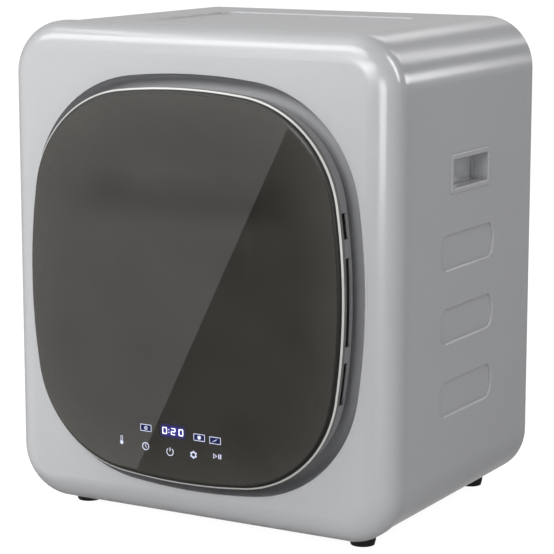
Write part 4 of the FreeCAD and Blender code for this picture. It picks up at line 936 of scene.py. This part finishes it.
class DRYER_OT_case_screws(bpy.types.Operator):
    """Models one cross-headed screw and puts copies where the plain screws are"""

    bl_idname = "dryer.case_screws"
    bl_label = "Case screws"

    def execute(self, context):
        finish = bpy.data.materials["steel_part_finish"]
        for node, axis, outward, body in SCREW_GROUPS:
            boxes = loose_boxes(node)
            if not boxes:
                raise RuntimeError("no screws in " + node)
            low, high = boxes[0]
            size = high - low
            screw = self.screw(size[0] / 2, size[axis])
            facing = Vector((0, 0, 0))
            facing[axis] = outward
            copies = []
            for low, high in boxes:
                head = (low + high) / 2
                head[axis] = high[axis] if outward > 0 else low[axis]
                copy = screw.copy()
                copy.data = screw.data.copy()
                context.scene.collection.objects.link(copy)
                copy.rotation_mode = "QUATERNION"
                copy.rotation_quaternion = facing.to_track_quat("Z", "Y")
                copy.location = head
                copies.append(settle(copy))
            bpy.data.objects.remove(screw)
            piece = one_piece("cross_" + node, copies)
            carried(piece, body, finish)
            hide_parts(node)
        return {"FINISHED"}

    def screw(self, radius, length):
        """A pan head with a cross recess and a tapered shank, its top at zero and its shank down."""
        high = radius * 0.55
        cut_long = radius * 1.1
        cut_wide = radius * 0.22
        cut_high = high * 1.1
        begin()
        bpy.ops.mesh.primitive_cylinder_add(
            vertices=32, radius=radius, depth=high, location=(0, 0, -high / 2))
        head = settle(made_piece())
        edit(head)
        choose_faces(head, lambda at: at.z < -high * 0.99)
        bpy.ops.mesh.inset(thickness=radius * 0.48)
        bpy.ops.mesh.extrude_region_move(TRANSFORM_OT_translate={"value": (0, 0, -(length - high))})
        bpy.ops.transform.resize(value=(0.72, 0.72, 1.0), center_override=(0, 0, -length))
        choose_faces(head, lambda at: at.z > -high * 0.01)
        bpy.ops.mesh.bevel(offset=high * 0.55, segments=5, affect="EDGES")
        leave_edit(head)
        for cutter in (block(cut_long, cut_wide, cut_high), block(cut_wide, cut_long, cut_high)):
            take(head)
            recess = head.modifiers.new("recess", "BOOLEAN")
            recess.object = cutter
            recess.operation = "DIFFERENCE"
            recess.solver = "EXACT"
            bpy.ops.object.modifier_apply(modifier=recess.name)
            bpy.data.objects.remove(cutter)
        take(head)
        bpy.ops.object.shade_smooth_by_angle(angle=math.radians(35))
        return head


# Each lamp: name, place, aim, width, height, its power's name, the share of it, its turn in degrees,
# and the kind of ray that it is hidden from.
MIDDLE = (0.0, 0.0, 0.29)
UPPER_EDGE = (-1.1, -0.19, 0.57)
LAMPS = (
    ("key_light", (0.15, -2.35, 1.35), MIDDLE, 1.9, 0.8, "key_power", 1.0, 0.0, "glossy"),
    ("top_strip", (-1.1, -1.15, 2.05), UPPER_EDGE, 3.0, 0.25, "strip_power", 1.0, 0.0, None),
    ("edge_light", (1.29, -1.48, 0.52), (0.22, -0.16, 0.52), 0.75, 0.7, "edge_power", 1.0, 0.0, "diffuse"),
    ("brow_strip", (-1.1, -1.45, 1.85), UPPER_EDGE, 3.0, 0.3, "brow_power", 1.0, 0.0, "diffuse"),
    ("crown_strip", (-1.15, -0.5, 2.1), (-0.1, -0.19, 0.56), 0.7, 0.08, "crown_power", 1.0, 0.0, "diffuse"),
    ("corner_strip", (0.32, -1.71, 1.15), (0.22, -0.19, 0.53), 1.45, 0.3, "corner_power", 1.0, 37.0,
     "diffuse"),
    ("rear_strip", (1.55, 2.27, 0.80), (0.24, 0.05, 0.4), 0.40, 0.35, "rear_power", 1.0, 0.0, "diffuse"),
    ("side_fill", (1.9, 0.5, 1.6), MIDDLE, 0.25, 1.5, "fill_power", 1.0, 0.0, None),
    ("back_light", (0.85, 2.2, 1.65), MIDDLE, 0.30, 0.8, "back_power", 1.0, 0.0, None),
    ("back_left_light", (-0.26, 2.2, 1.85), MIDDLE, 0.45, 0.8, "back_power", 0.6, 0.0, None),
)
FLOOR_SIZE = 60.0
FLAG_Y = -6.0
FLAG_CORNERS = ((-6.453, -7.0), (2.5, -7.0), (-2.714, 0.60), (2.5, 0.60))
CAMERA_PLACE = (1.26556, -2.19807, 0.72743)
CAMERA_FORWARD = (-0.48913829, 0.85366033, -0.17890719)


def eye_rays(tree):
    """The light path's outputs, and a value of one for rays from the camera, through glass or off a gloss."""
    rays = tree.nodes.new("ShaderNodeLightPath").outputs
    seen = maths(tree, "MAXIMUM", rays["Is Camera Ray"], rays["Is Transmission Ray"])
    return rays, maths(tree, "MAXIMUM", seen, rays["Is Glossy Ray"])


class DRYER_OT_studio(bpy.types.Operator):
    """Sets the floor, the lights, the dark flag that the glass mirrors, and the camera"""

    bl_idname = "dryer.studio"
    bl_label = "Studio"

    def execute(self, context):
        values = context.scene.dryer_studio
        context.scene.view_settings.view_transform = "Standard"
        self.floor(values)
        self.flag()
        self.surroundings(context, values)
        for name, at, aim, width, height, power, share, turn, hidden_from in LAMPS:
            made = self.lamp(name, at, aim, width, height, getattr(values, power) * share, turn)
            made.visible_glossy = hidden_from != "glossy"
            made.visible_diffuse = hidden_from != "diffuse"
        self.camera(context, values)
        return {"FINISHED"}

    def screen(self, name, size, material):
        begin()
        bpy.ops.mesh.primitive_plane_add(size=size, location=(0.0, 0.0, 0.0))
        piece = made_piece()
        piece.name = name
        made, tree, shader = fresh_material(material)
        wear_material(piece, made)
        return piece, tree, shader

    def floor(self, values):
        """A pale floor that the camera sees a little brighter than it is lit."""
        floor, tree, shader = self.screen("studio_floor", FLOOR_SIZE, "studio_floor_white")
        _, seen = eye_rays(tree)
        set_values(shader, {
            "Base Color": opaque(values.floor_tone), "Roughness": 0.9, "Specular IOR Level": 0.0})
        white = add_node(tree, "ShaderNodeEmission", inputs={"Strength": 1.2})
        both = add_node(tree, "ShaderNodeMixShader", inputs={
            0: maths(tree, "MULTIPLY", seen, 0.8), 1: shader.outputs[0], 2: white.outputs[0]})
        out = [item for item in tree.nodes if item.type == "OUTPUT_MATERIAL"][0]
        tree.links.new(both.outputs[0], out.inputs["Surface"])
        floor.visible_glossy = False

    def flag(self):
        """A dark screen far in front. Only reflections see it."""
        flag, _, shader = self.screen("studio_flag", 1.0, "studio_flag_black")
        for corner, (x, z) in zip(flag.data.vertices, FLAG_CORNERS):
            corner.co = (x, FLAG_Y, z)
        set_values(shader, {"Base Color": BLACK, "Specular IOR Level": 0.0})
        flag.visible_camera = False
        flag.visible_diffuse = False
        flag.visible_shadow = False
        flag.visible_transmission = False

    def surroundings(self, context, values):
        """Even light from all round. Gloss sees it dimmer to the right, behind and far below."""
        world = context.scene.world or bpy.data.worlds.new("studio_air")
        context.scene.world = world
        world.use_nodes = True
        tree = world.node_tree
        tree.nodes.clear()
        rays, seen = eye_rays(tree)
        way = axes(tree, tree.nodes.new("ShaderNodeTexCoord").outputs["Generated"])
        left = spread(tree, way["X"], 0.2, -0.3)
        front = spread(tree, way["Y"], 0.3, -0.2)
        level_or_up = spread(tree, way["Z"], -0.62, -0.42)
        lit = maths(tree, "MULTIPLY", left, spread(tree, front, 0.0, 1.0, 0.45, 1.0))
        lit = maths(tree, "MULTIPLY", lit, level_or_up)
        mirrored = spread(tree, lit, 0.0, 1.0, values.dim_side, 1.0)
        bright = blend_values(tree, rays["Is Glossy Ray"], 1.0, mirrored)
        level = blend_values(tree, seen, values.ambient, bright)
        air = add_node(tree, "ShaderNodeBackground", inputs={"Color": (1, 1, 1, 1), "Strength": level})
        out = tree.nodes.new("ShaderNodeOutputWorld")
        tree.links.new(air.outputs[0], out.inputs["Surface"])

    def lamp(self, name, at, aim, width, height, power, turn):
        """A soft box at a place that looks at another, turned about that line by some degrees."""
        light = bpy.data.lights.new(name, "AREA")
        light.shape = "RECTANGLE"
        light.size = width
        light.size_y = height
        light.energy = power
        made = bpy.data.objects.new(name, light)
        made.location = at
        made.rotation_euler = (Vector(aim) - Vector(at)).to_track_quat("-Z", "Y").to_euler()
        made.rotation_euler.rotate_axis("Z", math.radians(turn))
        bpy.context.scene.collection.objects.link(made)
        return made

    def camera(self, context, values):
        lens = bpy.data.cameras.new("studio_camera")
        lens.lens = values.lens
        lens.sensor_width = 36.0
        made = bpy.data.objects.new("studio_camera", lens)
        made.location = CAMERA_PLACE
        made.rotation_euler = Vector(CAMERA_FORWARD).to_track_quat("-Z", "Y").to_euler()
        context.scene.collection.objects.link(made)
        context.scene.camera = made


class DRYER_PT_tools(bpy.types.Panel):
    """Lists the dryer's operators and values"""

    bl_label = "Dryer"
    bl_idname = "DRYER_PT_tools"
    bl_space_type = "VIEW_3D"
    bl_region_type = "UI"
    bl_category = "Dryer"

    def draw(self, context):
        for made in OPERATORS:
            self.layout.operator(made.bl_idname)
        for group in (context.scene.dryer_finishes, context.scene.dryer_display, context.scene.dryer_studio):
            box = self.layout.box()
            for name in group.__annotations__:
                box.prop(group, name)


OPERATORS = (
    DRYER_OT_finishes,
    DRYER_OT_touch_keys,
    DRYER_OT_programme_marks,
    DRYER_OT_time_digits,
    DRYER_OT_case_screws,
    DRYER_OT_studio,
)
CLASSES = (DryerFinishes, DryerDisplay, DryerStudio) + OPERATORS + (DRYER_PT_tools,)


def register():
    for made in CLASSES:
        bpy.utils.register_class(made)
    bpy.types.Scene.dryer_finishes = bpy.props.PointerProperty(type=DryerFinishes)
    bpy.types.Scene.dryer_display = bpy.props.PointerProperty(type=DryerDisplay)
    bpy.types.Scene.dryer_studio = bpy.props.PointerProperty(type=DryerStudio)


def unregister():
    del bpy.types.Scene.dryer_studio
    del bpy.types.Scene.dryer_display
    del bpy.types.Scene.dryer_finishes
    for made in reversed(CLASSES):
        bpy.utils.unregister_class(made)


def main():
    register()
    bpy.ops.dryer.finishes()
    bpy.ops.dryer.touch_keys()
    bpy.ops.dryer.programme_marks()
    bpy.ops.dryer.time_digits()
    bpy.ops.dryer.case_screws()
    bpy.ops.dryer.studio()
    begin()


if __name__ == "__main__":
    main()
